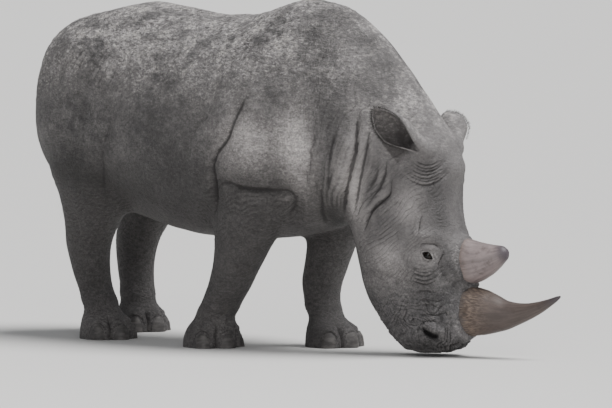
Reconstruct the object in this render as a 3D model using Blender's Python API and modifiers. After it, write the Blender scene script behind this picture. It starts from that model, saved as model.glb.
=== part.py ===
"""White rhinoceros, grazing: a still, life-size model.

Metres. The animal faces +X, +Z is up and its right flank is on the -Y side.
"""

import math

import bmesh
import bpy
import numpy as np
from mathutils import Vector

for old in list(bpy.data.objects):
    bpy.data.objects.remove(old, do_unlink=True)

# ---------------------------------------------------------------- sizes
VOXEL = 0.012  # spacing of the flesh while it is shaped
GAP = 0.0006  # thin cut between neighbouring nodes
HEAD_TURN = math.radians(18.0)  # the head is turned to the animal's left
BEND_FROM, BEND_TO = 0.35, 0.85  # the neck bends between these distances
TRIANGLES = {"head": 1900, "neck": 560, "trunk": 1800, "leg": 460}  # most that each flesh node has
LEG_CUT_Z = 0.50  # height of the cut between each leg and the trunk
SKIN_EAR = 0.009  # thickness of an ear
COLOURS = {  # linear red, green and blue
    "skin": (0.23, 0.22, 0.22),
    "horn": (0.30, 0.25, 0.24),
    "eye": (0.02, 0.015, 0.012),
    "nail": (0.20, 0.18, 0.17),
}
EYE_ROUGHNESS, DULL_ROUGHNESS = 0.15, 0.80

# The body is one long loft from rump to lips. Each station joins a point on
# the back line to a point on the belly line, both as (x, z), then gives the
# half width, where the widest place lies from belly (0) to back (1), and how
# square the upper and the lower half are.
STATIONS = [
    # back x, z     belly x, z     half  wide  up   low
    (-1.345, 1.180, -1.330, 0.930, 0.060, 0.50, 2.0, 2.0),
    (-1.330, 1.320, -1.305, 0.800, 0.215, 0.50, 2.2, 2.1),
    (-1.285, 1.455, -1.260, 0.730, 0.320, 0.50, 2.6, 2.1),
    (-1.195, 1.555, -1.170, 0.690, 0.385, 0.48, 2.9, 2.1),
    (-1.060, 1.608, -1.050, 0.665, 0.418, 0.47, 3.0, 2.1),
    (-0.900, 1.640, -0.900, 0.650, 0.434, 0.46, 2.7, 2.1),
    (-0.740, 1.668, -0.740, 0.610, 0.442, 0.45, 2.3, 2.1),
    (-0.500, 1.645, -0.500, 0.560, 0.458, 0.44, 2.1, 2.1),
    (-0.200, 1.620, -0.200, 0.528, 0.468, 0.43, 2.1, 2.2),
    (0.050, 1.630, 0.050, 0.525, 0.455, 0.43, 2.1, 2.2),
    (0.250, 1.672, 0.250, 0.540, 0.425, 0.43, 2.0, 2.2),
    (0.420, 1.710, 0.400, 0.560, 0.395, 0.43, 2.0, 2.1),
    (0.600, 1.688, 0.510, 0.580, 0.352, 0.43, 2.0, 2.1),
    (0.760, 1.608, 0.590, 0.600, 0.312, 0.44, 2.0, 2.1),
    (0.890, 1.495, 0.640, 0.622, 0.285, 0.45, 2.0, 2.1),
    (0.990, 1.380, 0.665, 0.640, 0.262, 0.46, 2.0, 2.1),
    (1.075, 1.270, 0.685, 0.640, 0.240, 0.48, 2.1, 2.1),
    (1.168, 1.145, 0.700, 0.620, 0.212, 0.50, 2.2, 2.1),
    (1.255, 1.010, 0.715, 0.580, 0.196, 0.50, 2.4, 2.2),
    (1.278, 0.880, 0.728, 0.535, 0.190, 0.52, 2.5, 2.2),
    (1.276, 0.760, 0.740, 0.485, 0.190, 0.54, 2.5, 2.2),
    (1.288, 0.640, 0.755, 0.420, 0.192, 0.56, 2.5, 2.2),
    (1.328, 0.520, 0.775, 0.340, 0.186, 0.56, 2.5, 2.2),
    (1.340, 0.400, 0.805, 0.260, 0.168, 0.55, 2.5, 2.2),
    (1.345, 0.290, 0.850, 0.180, 0.150, 0.55, 2.6, 2.3),
    (1.348, 0.200, 0.900, 0.118, 0.142, 0.55, 2.8, 2.4),
    (1.345, 0.130, 0.945, 0.078, 0.140, 0.55, 3.0, 2.6),
    (1.325, 0.075, 0.990, 0.045, 0.132, 0.55, 3.0, 2.6),
    (1.285, 0.036, 1.035, 0.022, 0.115, 0.55, 3.0, 2.6),
    (1.225, 0.016, 1.090, 0.013, 0.075, 0.55, 2.6, 2.4),
]

# Legs, from inside the trunk to the sole: x, y, z of the middle, then the
# half length fore and aft and the half width. y is measured outward.
FORE_BACK = [  # right foreleg, placed back
    (0.300, 0.180, 1.080, 0.190, 0.120),
    (0.300, 0.225, 0.880, 0.210, 0.150),
    (0.275, 0.248, 0.720, 0.212, 0.155),
    (0.235, 0.258, 0.570, 0.180, 0.138),
    (0.190, 0.258, 0.460, 0.140, 0.122),
    (0.150, 0.256, 0.380, 0.120, 0.113),
    (0.090, 0.250, 0.285, 0.108, 0.105),
    (0.025, 0.243, 0.205, 0.100, 0.100),
    (-0.020, 0.238, 0.145, 0.104, 0.103),
    (-0.040, 0.235, 0.090, 0.124, 0.122),
    (-0.046, 0.235, 0.040, 0.138, 0.137),
    (-0.046, 0.235, -0.020, 0.140, 0.140),
]
FORE_AHEAD = [  # left foreleg, standing under the shoulder
    (0.340, 0.180, 1.080, 0.190, 0.120),
    (0.360, 0.220, 0.880, 0.200, 0.148),
    (0.365, 0.232, 0.720, 0.190, 0.150),
    (0.355, 0.230, 0.590, 0.160, 0.134),
    (0.320, 0.226, 0.480, 0.130, 0.118),
    (0.285, 0.222, 0.385, 0.112, 0.108),
    (0.258, 0.218, 0.290, 0.098, 0.098),
    (0.265, 0.216, 0.210, 0.089, 0.090),
    (0.300, 0.215, 0.145, 0.092, 0.094),
    (0.338, 0.215, 0.090, 0.124, 0.122),
    (0.354, 0.215, 0.040, 0.142, 0.138),
    (0.356, 0.215, -0.020, 0.144, 0.141),
]
HIND_AHEAD = [  # right hind leg
    (-0.930, 0.160, 1.300, 0.240, 0.120),
    (-0.915, 0.225, 1.060, 0.310, 0.170),
    (-0.890, 0.255, 0.860, 0.300, 0.170),
    (-0.885, 0.262, 0.700, 0.225, 0.148),
    (-0.915, 0.262, 0.570, 0.160, 0.120),
    (-0.945, 0.260, 0.450, 0.125, 0.102),
    (-0.935, 0.256, 0.350, 0.104, 0.092),
    (-0.895, 0.252, 0.240, 0.090, 0.087),
    (-0.860, 0.248, 0.155, 0.093, 0.092),
    (-0.836, 0.245, 0.095, 0.116, 0.114),
    (-0.826, 0.245, 0.040, 0.134, 0.128),
    (-0.826, 0.245, -0.020, 0.137, 0.131),
]
HIND_BACK = [  # left hind leg
    (-0.950, 0.160, 1.300, 0.240, 0.120),
    (-0.955, 0.225, 1.060, 0.310, 0.170),
    (-0.980, 0.252, 0.860, 0.290, 0.170),
    (-1.040, 0.262, 0.700, 0.215, 0.148),
    (-1.115, 0.262, 0.570, 0.152, 0.120),
    (-1.175, 0.260, 0.450, 0.124, 0.102),
    (-1.185, 0.256, 0.350, 0.104, 0.092),
    (-1.170, 0.252, 0.240, 0.090, 0.087),
    (-1.155, 0.248, 0.155, 0.093, 0.092),
    (-1.140, 0.245, 0.095, 0.116, 0.114),
    (-1.132, 0.245, 0.040, 0.134, 0.128),
    (-1.132, 0.245, -0.020, 0.137, 0.131),
]
TAIL = [  # x, z, half length fore and aft, half width
    (-1.240, 1.330, 0.040, 0.050),
    (-1.300, 1.300, 0.034, 0.042),
    (-1.350, 1.220, 0.026, 0.032),
    (-1.372, 1.100, 0.021, 0.026),
    (-1.380, 0.960, 0.017, 0.022),
    (-1.382, 0.840, 0.014, 0.024),
    (-1.380, 0.760, 0.010, 0.018),
    (-1.379, 0.725, 0.005, 0.008),
]

# Horns: x and z along the axis, half depth and half width, in the mid plane.
HORN_FRONT = [
    (1.290, 0.225, 0.118, 0.100),
    (1.360, 0.222, 0.122, 0.104),
    (1.400, 0.220, 0.116, 0.098),
    (1.460, 0.214, 0.100, 0.082),
    (1.525, 0.210, 0.078, 0.066),
    (1.588, 0.216, 0.058, 0.052),
    (1.655, 0.230, 0.042, 0.040),
    (1.720, 0.252, 0.029, 0.028),
    (1.778, 0.278, 0.018, 0.018),
    (1.820, 0.300, 0.010, 0.010),
    (1.836, 0.309, 0.004, 0.004),
]
HORN_REAR = [
    (1.270, 0.458, 0.105, 0.085),
    (1.335, 0.460, 0.112, 0.092),
    (1.380, 0.464, 0.102, 0.084),
    (1.430, 0.474, 0.084, 0.070),
    (1.478, 0.489, 0.067, 0.057),
    (1.512, 0.502, 0.052, 0.045),
    (1.535, 0.511, 0.038, 0.034),
    (1.547, 0.516, 0.018, 0.017),
]

# Toes: which way each points, in degrees outward from straight ahead, and the
# half width of its nail. Then the nail from the floor up: height, share of the
# width, how far it stands proud of the toe.
TOES = {"outer": (62.0, 0.050), "middle": (4.0, 0.062), "inner": (-54.0, 0.046)}
NAIL = [(0.000, 1.00, 0.024), (0.028, 0.98, 0.021), (0.054, 0.80, 0.012), (0.074, 0.34, 0.000)]
NAIL_THICK = 0.022
NAIL_LIFT = 0.001  # clear of the floor
HIND_NAIL = 0.92  # the hind nails are this much narrower

EYE_AT = (1.200, 0.160, 0.492)
EYE_RADIUS = 0.024
EAR_BASE = (1.175, 0.150, 1.005)
EAR_TIPS = {-1: (1.010, 0.362, 1.192), 1: (1.010, 0.372, 1.142)}  # right, left

# Soft masses over the bones: where, how far they reach, how high they stand.
MASSES = [
    # x      y      z      rx    ry    rz    height
    (0.330, 0.360, 1.120, 0.17, 0.20, 0.26, 0.022),  # shoulder blade
    (0.330, 0.360, 0.850, 0.16, 0.20, 0.16, 0.020),  # upper arm
    (-0.850, 0.370, 1.430, 0.20, 0.16, 0.14, 0.018),  # point of the hip
    (-0.980, 0.400, 1.050, 0.26, 0.20, 0.26, 0.020),  # thigh
    (-0.350, 0.400, 0.800, 0.40, 0.20, 0.22, 0.014),  # barrel
    (1.190, 0.175, 0.560, 0.07, 0.07, 0.05, 0.010),  # brow
    (0.900, 0.180, 0.500, 0.12, 0.10, 0.12, 0.016),  # cheek
    (1.200, 0.150, 0.130, 0.06, 0.08, 0.05, 0.012),  # nostril wing
    (1.230, 0.090, 1.040, 0.08, 0.07, 0.08, 0.014),  # poll beside the ear
]


# ---------------------------------------------------------------- shaping
def smooth_between(keys, table, at):
    """Each column of table at the given places, curving smoothly and never overshooting a key."""
    keys, table = np.asarray(keys, float), np.asarray(table, float)
    step = np.diff(keys)[:, None]
    slope = np.diff(table, axis=0) / step
    lean = np.zeros_like(table)
    lean[0], lean[-1] = slope[0], slope[-1]
    before, after = slope[:-1], slope[1:]
    w1, w2 = 2 * step[1:] + step[:-1], step[1:] + 2 * step[:-1]
    same = before * after > 0
    safe = np.where(same, before * after, 1.0)
    lean[1:-1] = np.where(same, (w1 + w2) * safe / (w1 * after + w2 * before + 1e-30), 0.0)
    i = np.clip(np.searchsorted(keys, at, side="right") - 1, 0, len(keys) - 2)
    t = ((at - keys[i]) / (keys[i + 1] - keys[i]))[:, None]
    h = (keys[i + 1] - keys[i])[:, None]
    return (
        (1 + 2 * t) * (1 - t) ** 2 * table[i]
        + t * (1 - t) ** 2 * h * lean[i]
        + t * t * (3 - 2 * t) * table[i + 1]
        + t * t * (t - 1) * h * lean[i + 1]
    )


def refine(table, middle, count):
    """The table at count stations spread evenly along the middle line."""
    table = np.asarray(table, float)
    steps = np.linalg.norm(np.diff(table[:, middle], axis=0), axis=1)
    path = np.concatenate([[0], np.cumsum(steps)])
    return smooth_between(path, table, np.linspace(0, path[-1], count))


def loft(rings):
    """Points and faces of a closed body through rings of equal count, with a point at each end."""
    rings = np.asarray(rings, float)
    rows, n, _ = rings.shape
    points = np.concatenate([rings.reshape(-1, 3), rings[:1].mean(1), rings[-1:].mean(1)])
    faces = []
    for r in range(rows - 1):
        a, b = r * n, (r + 1) * n
        faces += [(a + i, a + (i + 1) % n, b + (i + 1) % n, b + i) for i in range(n)]
    first, last = rows * n, rows * n + 1
    faces += [((i + 1) % n, i, first) for i in range(n)]
    faces += [((rows - 1) * n + i, (rows - 1) * n + (i + 1) % n, last) for i in range(n)]
    return points, faces


def body_rings(count=120, n=72):
    rows = np.array(STATIONS)
    rows = np.column_stack([rows, (rows[:, 0:2] + rows[:, 2:4]) / 2])
    rows = refine(rows, slice(8, 10), count)
    turn = np.linspace(0, 2 * np.pi, n, endpoint=False)
    c, s = np.cos(turn), np.sin(turn)
    rings = []
    for tx, tz, bx, bz, wide, k, up, low, _, _ in rows:
        square = np.where(c > 0, up, low)
        reach = np.abs(c) ** (2 / square)
        along = np.where(c > 0, k + (1 - k) * reach, k - k * reach)
        side = np.sign(s) * wide * np.abs(s) ** (2 / square)
        rings.append(np.column_stack([bx + (tx - bx) * along, side, bz + (tz - bz) * along]))
    return rings


def leg_rings(table, side, count=40, n=40):
    rows = refine(table, slice(0, 3), count)
    turn = np.linspace(0, 2 * np.pi, n, endpoint=False)
    return [
        np.column_stack([x + rx * np.cos(turn), side * y + ry * np.sin(turn), np.full(n, z)])
        for x, y, z, rx, ry in rows
    ]


def curve_rings(table, count=24, n=24):
    """Rings square to a curve in the mid plane: rows of x, z, half depth, half width."""
    rows = refine(table, slice(0, 2), count)
    run = np.gradient(rows[:, 0:2], axis=0)
    run /= np.linalg.norm(run, axis=1)[:, None]
    turn = np.linspace(0, 2 * np.pi, n, endpoint=False)
    rings = []
    for (x, z, deep, wide), (dx, dz) in zip(rows, run):
        lift = deep * np.cos(turn)
        rings.append(np.column_stack([x - dz * lift, wide * np.sin(turn), z + dx * lift]))
    return rings


def bend(p):
    """Turns everything ahead of the shoulders to the left, as one smooth bend of the neck."""
    p = np.array(p, float)
    rate = HEAD_TURN / (BEND_TO - BEND_FROM)
    s = np.clip(p[:, 0], BEND_FROM, BEND_TO) - BEND_FROM
    angle = s * rate
    over = np.maximum(p[:, 0] - BEND_TO, 0)
    x = np.minimum(p[:, 0], BEND_FROM) + np.sin(angle) / rate + over * np.cos(angle)
    y = (1 - np.cos(angle)) / rate + over * np.sin(angle)
    return np.column_stack([x - p[:, 1] * np.sin(angle), y + p[:, 1] * np.cos(angle), p[:, 2]])


# ---------------------------------------------------------------- meshes
def new_object(name, points, faces, collection=None):
    mesh = bpy.data.meshes.new(name)
    mesh.from_pydata([tuple(map(float, p)) for p in points], [], [tuple(f) for f in faces])
    obj = bpy.data.objects.new(name, mesh)
    (collection or bpy.context.scene.collection).objects.link(obj)
    out = bmesh.new()
    out.from_mesh(mesh)
    bmesh.ops.recalc_face_normals(out, faces=out.faces[:])
    out.to_mesh(mesh)
    out.free()
    return obj


def points_of(obj):
    points = np.empty(len(obj.data.vertices) * 3)
    obj.data.vertices.foreach_get("co", points)
    return points.reshape(-1, 3)


def set_points(obj, points):
    obj.data.vertices.foreach_set("co", np.asarray(points, float).ravel())
    obj.data.update()


def normals_of(obj):
    normals = np.empty(len(obj.data.vertices) * 3)
    obj.data.vertices.foreach_get("normal", normals)
    return normals.reshape(-1, 3)


def settle(obj):
    """Applies every modifier."""
    graph = bpy.context.evaluated_depsgraph_get()
    mesh = bpy.data.meshes.new_from_object(obj.evaluated_get(graph))
    obj.modifiers.clear()
    old, obj.data = obj.data, mesh
    bpy.data.meshes.remove(old)
    return obj


def join(pieces):
    points, faces, start = [], [], 0
    for p, f in pieces:
        points.append(p)
        faces += [tuple(i + start for i in face) for face in f]
        start += len(p)
    return np.concatenate(points), faces


def soften(obj, rounds, hollow, ridge):
    """Smooths the mesh: hollow is how fast dents fill, ridge how fast bulges sink."""
    points = points_of(obj)
    edges = np.empty(len(obj.data.edges) * 2, np.int32)
    obj.data.edges.foreach_get("vertices", edges)
    a, b = edges.reshape(-1, 2).T
    count = np.bincount(a, minlength=len(points)) + np.bincount(b, minlength=len(points))
    for _ in range(rounds):
        total = np.column_stack([
            np.bincount(a, points[b, k], len(points)) + np.bincount(b, points[a, k], len(points))
            for k in range(3)
        ])
        pull = total / count[:, None] - points
        outward = (pull * normals_of(obj)).sum(1)
        points = points + pull * np.where(outward > 0, hollow, ridge)[:, None]
        set_points(obj, points)


def raise_masses(obj):
    points, normals = points_of(obj), normals_of(obj)
    lift = np.zeros(len(points))
    for x, y, z, rx, ry, rz, high in MASSES:
        for side in (-1, 1):
            away = ((points - (x, side * y, z)) / (rx, ry, rz)) ** 2
            lift += high * np.exp(-away.sum(1) * 1.4)
    set_points(obj, points + normals * lift[:, None])


def keep_side(source, name, planes, triangles=None):
    """A copy of source on the inner side of each (point, outward direction), closed with flat faces."""
    if triangles:
        rough = keep_side(source, name + ".rough", planes)
        source = thin(rough, triangles)
    out = bmesh.new()
    out.from_mesh(source.data)
    for at, outward in planes:
        cut = bmesh.ops.bisect_plane(
            out, geom=out.verts[:] + out.edges[:] + out.faces[:], dist=1e-7,
            plane_co=at, plane_no=outward, clear_outer=True, clear_inner=False,
        )
        rim = [g for g in cut["geom_cut"] if isinstance(g, bmesh.types.BMEdge) and g.is_boundary]
        bmesh.ops.edgenet_fill(out, edges=rim)
    bmesh.ops.triangulate(out, faces=out.faces[:])
    mesh = bpy.data.meshes.new(name)
    out.to_mesh(mesh)
    out.free()
    obj = bpy.data.objects.new(name, mesh)
    bpy.context.scene.collection.objects.link(obj)
    if triangles:
        bpy.data.objects.remove(source, do_unlink=True)
    return obj


def grown(obj, by):
    """A helper copy of obj, swollen by a small distance."""
    helper = bpy.data.objects.new("helper", obj.data.copy())
    cutters.objects.link(helper)
    out = bmesh.new()
    out.from_mesh(helper.data)
    out.normal_update()
    for vertex in out.verts:
        vertex.co += vertex.normal * by * vertex.calc_shell_factor()
    out.to_mesh(helper.data)
    out.free()
    helper.hide_render = True
    helper.display_type = "WIRE"
    return helper


def carve(obj, other, by=GAP):
    """Takes other, swollen by a small distance, out of obj."""
    helper = grown(other, by)
    modifier = obj.modifiers.new("carve", "BOOLEAN")
    modifier.operation = "DIFFERENCE"
    modifier.solver = "EXACT"
    modifier.object = helper
    bpy.context.view_layer.update()
    settle(obj)
    bpy.data.objects.remove(helper, do_unlink=True)
    largest_only(obj)


def largest_only(obj):
    """Drops loose slivers that a cut leaves behind."""
    out = bmesh.new()
    out.from_mesh(obj.data)
    groups, seen = [], set()
    for start in out.verts:
        if start in seen:
            continue
        group, todo = [], [start]
        seen.add(start)
        while todo:
            here = todo.pop()
            group.append(here)
            for edge in here.link_edges:
                there = edge.other_vert(here)
                if there not in seen:
                    seen.add(there)
                    todo.append(there)
        groups.append(group)
    groups.sort(key=len)
    for group in groups[:-1]:
        bmesh.ops.delete(out, geom=group, context="VERTS")
    bmesh.ops.triangulate(out, faces=out.faces[:])
    out.to_mesh(obj.data)
    out.free()


def thin(obj, triangles):
    """Reduces obj to about this many triangles."""
    obj.data.calc_loop_triangles()
    now = len(obj.data.loop_triangles)
    if now > triangles:
        modifier = obj.modifiers.new("thin", "DECIMATE")
        modifier.ratio = triangles / now
        bpy.context.view_layer.update()
        settle(obj)
    return obj


cutters = bpy.data.collections.new("cutters")
bpy.context.scene.collection.children.link(cutters)
cutters.hide_render = True

# ---------------------------------------------------------------- flesh
LEGS = {
    "front_right": (FORE_BACK, -1),
    "front_left": (FORE_AHEAD, 1),
    "hind_right": (HIND_AHEAD, -1),
    "hind_left": (HIND_BACK, 1),
}
pieces = [loft(body_rings())]
pieces += [loft(leg_rings(table, side)) for table, side in LEGS.values()]
flesh = new_object("flesh", *join(pieces))
remesh = flesh.modifiers.new("remesh", "REMESH")
remesh.mode = "VOXEL"
remesh.voxel_size = VOXEL
bpy.context.view_layer.update()
settle(flesh)
soften(flesh, 60, 0.5, 0.02)
raise_masses(flesh)
soften(flesh, 6, 0.4, 0.4)

set_points(flesh, bend(points_of(flesh)))


# ---------------------------------------------------------------- cuts
def bent(x, z, dx, dz):
    """A cut square to the mid plane, given where it lies before the neck bends."""
    at, ahead = bend([(x, 0, z), (x + 0.01 * dx, 0, z + 0.01 * dz)])
    return Vector(at), Vector(ahead - at).normalized()


half = GAP / 2
throat, to_head = bent(0.760, 0.640, 0.80, -0.60)
collar, to_neck = bent(0.520, 1.100, 0.99, -0.10)
forward, left, up = Vector((1, 0, 0)), Vector((0, 1, 0)), Vector((0, 0, 1))
ground = Vector((0, 0, 0))
knee = up * LEG_CUT_Z
waist = forward * -0.35  # the forelegs lie ahead of this and the hind legs behind it
chin = forward * 0.62  # nothing of a leg reaches ahead of this
above_knee = (knee + up * half, -up)

head = keep_side(flesh, "head", [(throat + to_head * half, -to_head)], TRIANGLES["head"])
neck_cuts = [(throat - to_head * half, to_head), (collar + to_neck * half, -to_neck), above_knee]
neck = keep_side(flesh, "neck", neck_cuts, TRIANGLES["neck"])
trunk = keep_side(flesh, "trunk", [(collar - to_neck * half, to_neck), above_knee], TRIANGLES["trunk"])
legs = {}
for name, (_, side) in LEGS.items():
    inward = -forward if name.startswith("front") else forward
    below_knee = (knee - up * half, up)
    leg_cuts = [below_knee, (ground, -up), (waist, inward), (chin, forward), (ground, -left * side)]
    legs[name] = keep_side(flesh, "leg_" + name, leg_cuts, TRIANGLES["leg"])
bpy.data.objects.remove(flesh, do_unlink=True)


# ---------------------------------------------------------------- horns, eyes, ears, tail, toenails
def solid(name, points, faces, triangles=None):
    obj = new_object(name, bend(points), faces)
    if triangles:
        thin(obj, triangles)
    return obj


horn_front = solid("horn_front", *loft(curve_rings(HORN_FRONT, 15, 16)))
horn_rear = solid("horn_rear", *loft(curve_rings(HORN_REAR, 10, 14)))
for horn in (horn_front, horn_rear):
    carve(horn, head)

eyes = []
for name, side in (("eye_right", -1), ("eye_left", 1)):
    out = bmesh.new()
    bmesh.ops.create_uvsphere(out, u_segments=10, v_segments=7, radius=EYE_RADIUS)
    mesh = bpy.data.meshes.new(name)
    out.to_mesh(mesh)
    out.free()
    eye = bpy.data.objects.new(name, mesh)
    bpy.context.scene.collection.objects.link(eye)
    set_points(eye, bend(points_of(eye) + (EYE_AT[0], side * EYE_AT[1], EYE_AT[2])))
    carve(head, eye)
    eyes.append(eye)


def ear(name, side):
    """A rolled ear: a closed tube at the root that opens to a wide pointed cup."""
    root, tip = np.array(EAR_BASE), np.array(EAR_TIPS[side])
    along = (tip - root) / np.linalg.norm(tip - root)
    facing = np.array((0.05, 0.90, -0.30))
    facing -= along * (facing @ along)
    facing /= np.linalg.norm(facing)
    across = np.cross(along, facing)
    long = np.linalg.norm(tip - root)
    rows = np.array([
        # along, radius, half opening left closed (degrees), set back
        (-0.10, 0.046, 178.0, 0.000),
        (0.12, 0.047, 176.0, -0.002),
        (0.28, 0.056, 152.0, -0.006),
        (0.42, 0.069, 128.0, -0.014),
        (0.58, 0.079, 106.0, -0.022),
        (0.74, 0.074, 90.0, -0.020),
        (0.87, 0.054, 78.0, -0.010),
        (0.96, 0.028, 68.0, 0.006),
        (1.00, 0.008, 60.0, 0.016),
    ])
    count, n = 11, 11
    rows = smooth_between(rows[:, 0], rows, np.linspace(-0.10, 1.0, count))
    outer, inner = [], []
    for t, radius, closed, back in rows:
        turn = np.radians(np.linspace(-closed, closed, n))
        middle = root + along * long * t - facing * back
        for ring, r in ((outer, radius), (inner, max(radius - SKIN_EAR, radius * 0.45))):
            ring.append(middle - facing * np.cos(turn)[:, None] * r + across * np.sin(turn)[:, None] * r)
    points = np.concatenate([np.array(outer).reshape(-1, 3), np.array(inner).reshape(-1, 3)])
    shift, faces = count * n, []
    for r in range(count - 1):
        for i in range(n - 1):
            a, b = r * n + i, (r + 1) * n + i
            faces.append((a, a + 1, b + 1, b))
            faces.append((shift + a + 1, shift + a, shift + b, shift + b + 1))
        for i in (0, n - 1):
            a, b = r * n + i, (r + 1) * n + i
            faces.append((a, b, shift + b, shift + a))
    for i in range(n - 1):
        for r in (0, count - 1):
            a = r * n + i
            faces.append((a, a + 1, shift + a + 1, shift + a))
    points[:, 1] *= side
    obj = solid(name, points, faces)
    carve(obj, head)
    carve(obj, neck)
    return obj


ears = [ear("ear_right", -1), ear("ear_left", 1)]

tail = solid("tail", *loft(curve_rings(TAIL, 13, 8)))
carve(tail, trunk)


def toenail(name, leg, table, side, aim, wide):
    """A broad blunt nail on the front of a toe."""
    x, y, _, rx, ry = table[-2]
    turn = math.radians(aim) * side
    middle = Vector((x + rx * math.cos(turn), side * y + ry * math.sin(turn), NAIL_LIFT))
    outward = Vector((math.cos(turn) / rx, math.sin(turn) / ry, 0)).normalized()
    across = Vector((-outward.y, outward.x, 0))
    rings = []
    for z, share, proud in NAIL:
        ring = []
        for a in np.linspace(0, 2 * math.pi, 8, endpoint=False):
            u = math.copysign(abs(math.cos(a)) ** 0.8, math.cos(a)) * wide * share
            v = math.copysign(abs(math.sin(a)) ** 0.8, math.sin(a)) * NAIL_THICK + proud - NAIL_THICK
            v -= (u / 0.16) ** 2 * 0.30  # bent back round the toe
            ring.append(middle + across * u + outward * v + up * z)
        rings.append(ring)
    obj = solid(name, *loft(rings))
    carve(obj, leg)
    return obj


nails = []
for name, (table, side) in LEGS.items():
    for toe, (aim, wide) in TOES.items():
        wide *= HIND_NAIL if name.startswith("hind") else 1.0
        nails.append(toenail(f"nail_{name}_{toe}", legs[name], table, side, aim, wide))

# ---------------------------------------------------------------- place, group, colour
rhino = bpy.data.collections.new("white_rhinoceros")
bpy.context.scene.collection.children.link(rhino)
nodes = [head, neck, trunk, *legs.values(), tail, horn_front, horn_rear, *eyes, *ears, *nails]
everything = np.concatenate([points_of(obj) for obj in nodes])
low, high = everything.min(0), everything.max(0)
shift = np.array([-(low[0] + high[0]) / 2, -(low[1] + high[1]) / 2, 0.0])
print("moved by", shift.round(5).tolist(), "size", (high - low).round(4).tolist())
for obj in nodes:
    set_points(obj, points_of(obj) + shift)
    for collection in list(obj.users_collection):
        collection.objects.unlink(obj)
    rhino.objects.link(obj)
    kind = obj.name.split("_")[0]
    kind = kind if kind in COLOURS else "skin"
    material = bpy.data.materials.new(obj.name)
    material.use_nodes = True
    shader = material.node_tree.nodes["Principled BSDF"]
    shader.inputs["Base Color"].default_value = (*COLOURS[kind], 1)
    shader.inputs["Roughness"].default_value = EYE_ROUGHNESS if kind == "eye" else DULL_ROUGHNESS
    obj.data.materials.clear()
    obj.data.materials.append(material)
    obj.data.calc_loop_triangles()
print("triangles", {obj.name: len(obj.data.loop_triangles) for obj in nodes})
print("triangles in all", sum(len(obj.data.loop_triangles) for obj in nodes))
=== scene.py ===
"""White rhinoceros, grazing: the skin, horns, eyes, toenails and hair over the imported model's frame."""

import contextlib
import itertools
import math

import bmesh
import bpy
import numpy as np
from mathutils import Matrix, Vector
from mathutils.bvhtree import BVHTree


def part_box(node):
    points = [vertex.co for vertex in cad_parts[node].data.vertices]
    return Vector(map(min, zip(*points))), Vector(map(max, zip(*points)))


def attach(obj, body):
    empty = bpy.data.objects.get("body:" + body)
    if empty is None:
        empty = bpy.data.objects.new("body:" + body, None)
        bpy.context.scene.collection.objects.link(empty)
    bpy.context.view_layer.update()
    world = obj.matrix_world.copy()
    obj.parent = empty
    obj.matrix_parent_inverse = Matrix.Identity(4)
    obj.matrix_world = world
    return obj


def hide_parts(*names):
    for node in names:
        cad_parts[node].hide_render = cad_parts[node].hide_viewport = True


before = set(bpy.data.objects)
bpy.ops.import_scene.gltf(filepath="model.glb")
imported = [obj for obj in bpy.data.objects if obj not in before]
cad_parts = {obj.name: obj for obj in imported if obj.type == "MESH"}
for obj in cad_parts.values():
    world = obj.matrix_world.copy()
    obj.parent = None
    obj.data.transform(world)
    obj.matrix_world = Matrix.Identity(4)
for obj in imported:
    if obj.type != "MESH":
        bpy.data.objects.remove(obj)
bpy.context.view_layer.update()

# ---------------------------------------------------------------- driving sizes
VOXEL = 0.012  # spacing of the flesh while it is shaped
HEAD_TURN = math.radians(18.0)  # the head is turned to the animal's left
BEND_FROM, BEND_TO = 0.35, 0.85  # the neck bends between these distances
SKIN_EAR = 0.009  # thickness of an ear
VIEW_TURN = math.radians(48.0)  # the camera looks from this far round to the front
VIEW_UP = math.radians(3.15)
VIEW_FAR = 40.0
VIEW_WIDE = 3.0  # how much the view takes in at the animal
MID_BODY = -0.35  # between the forelegs and the hind legs

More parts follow.
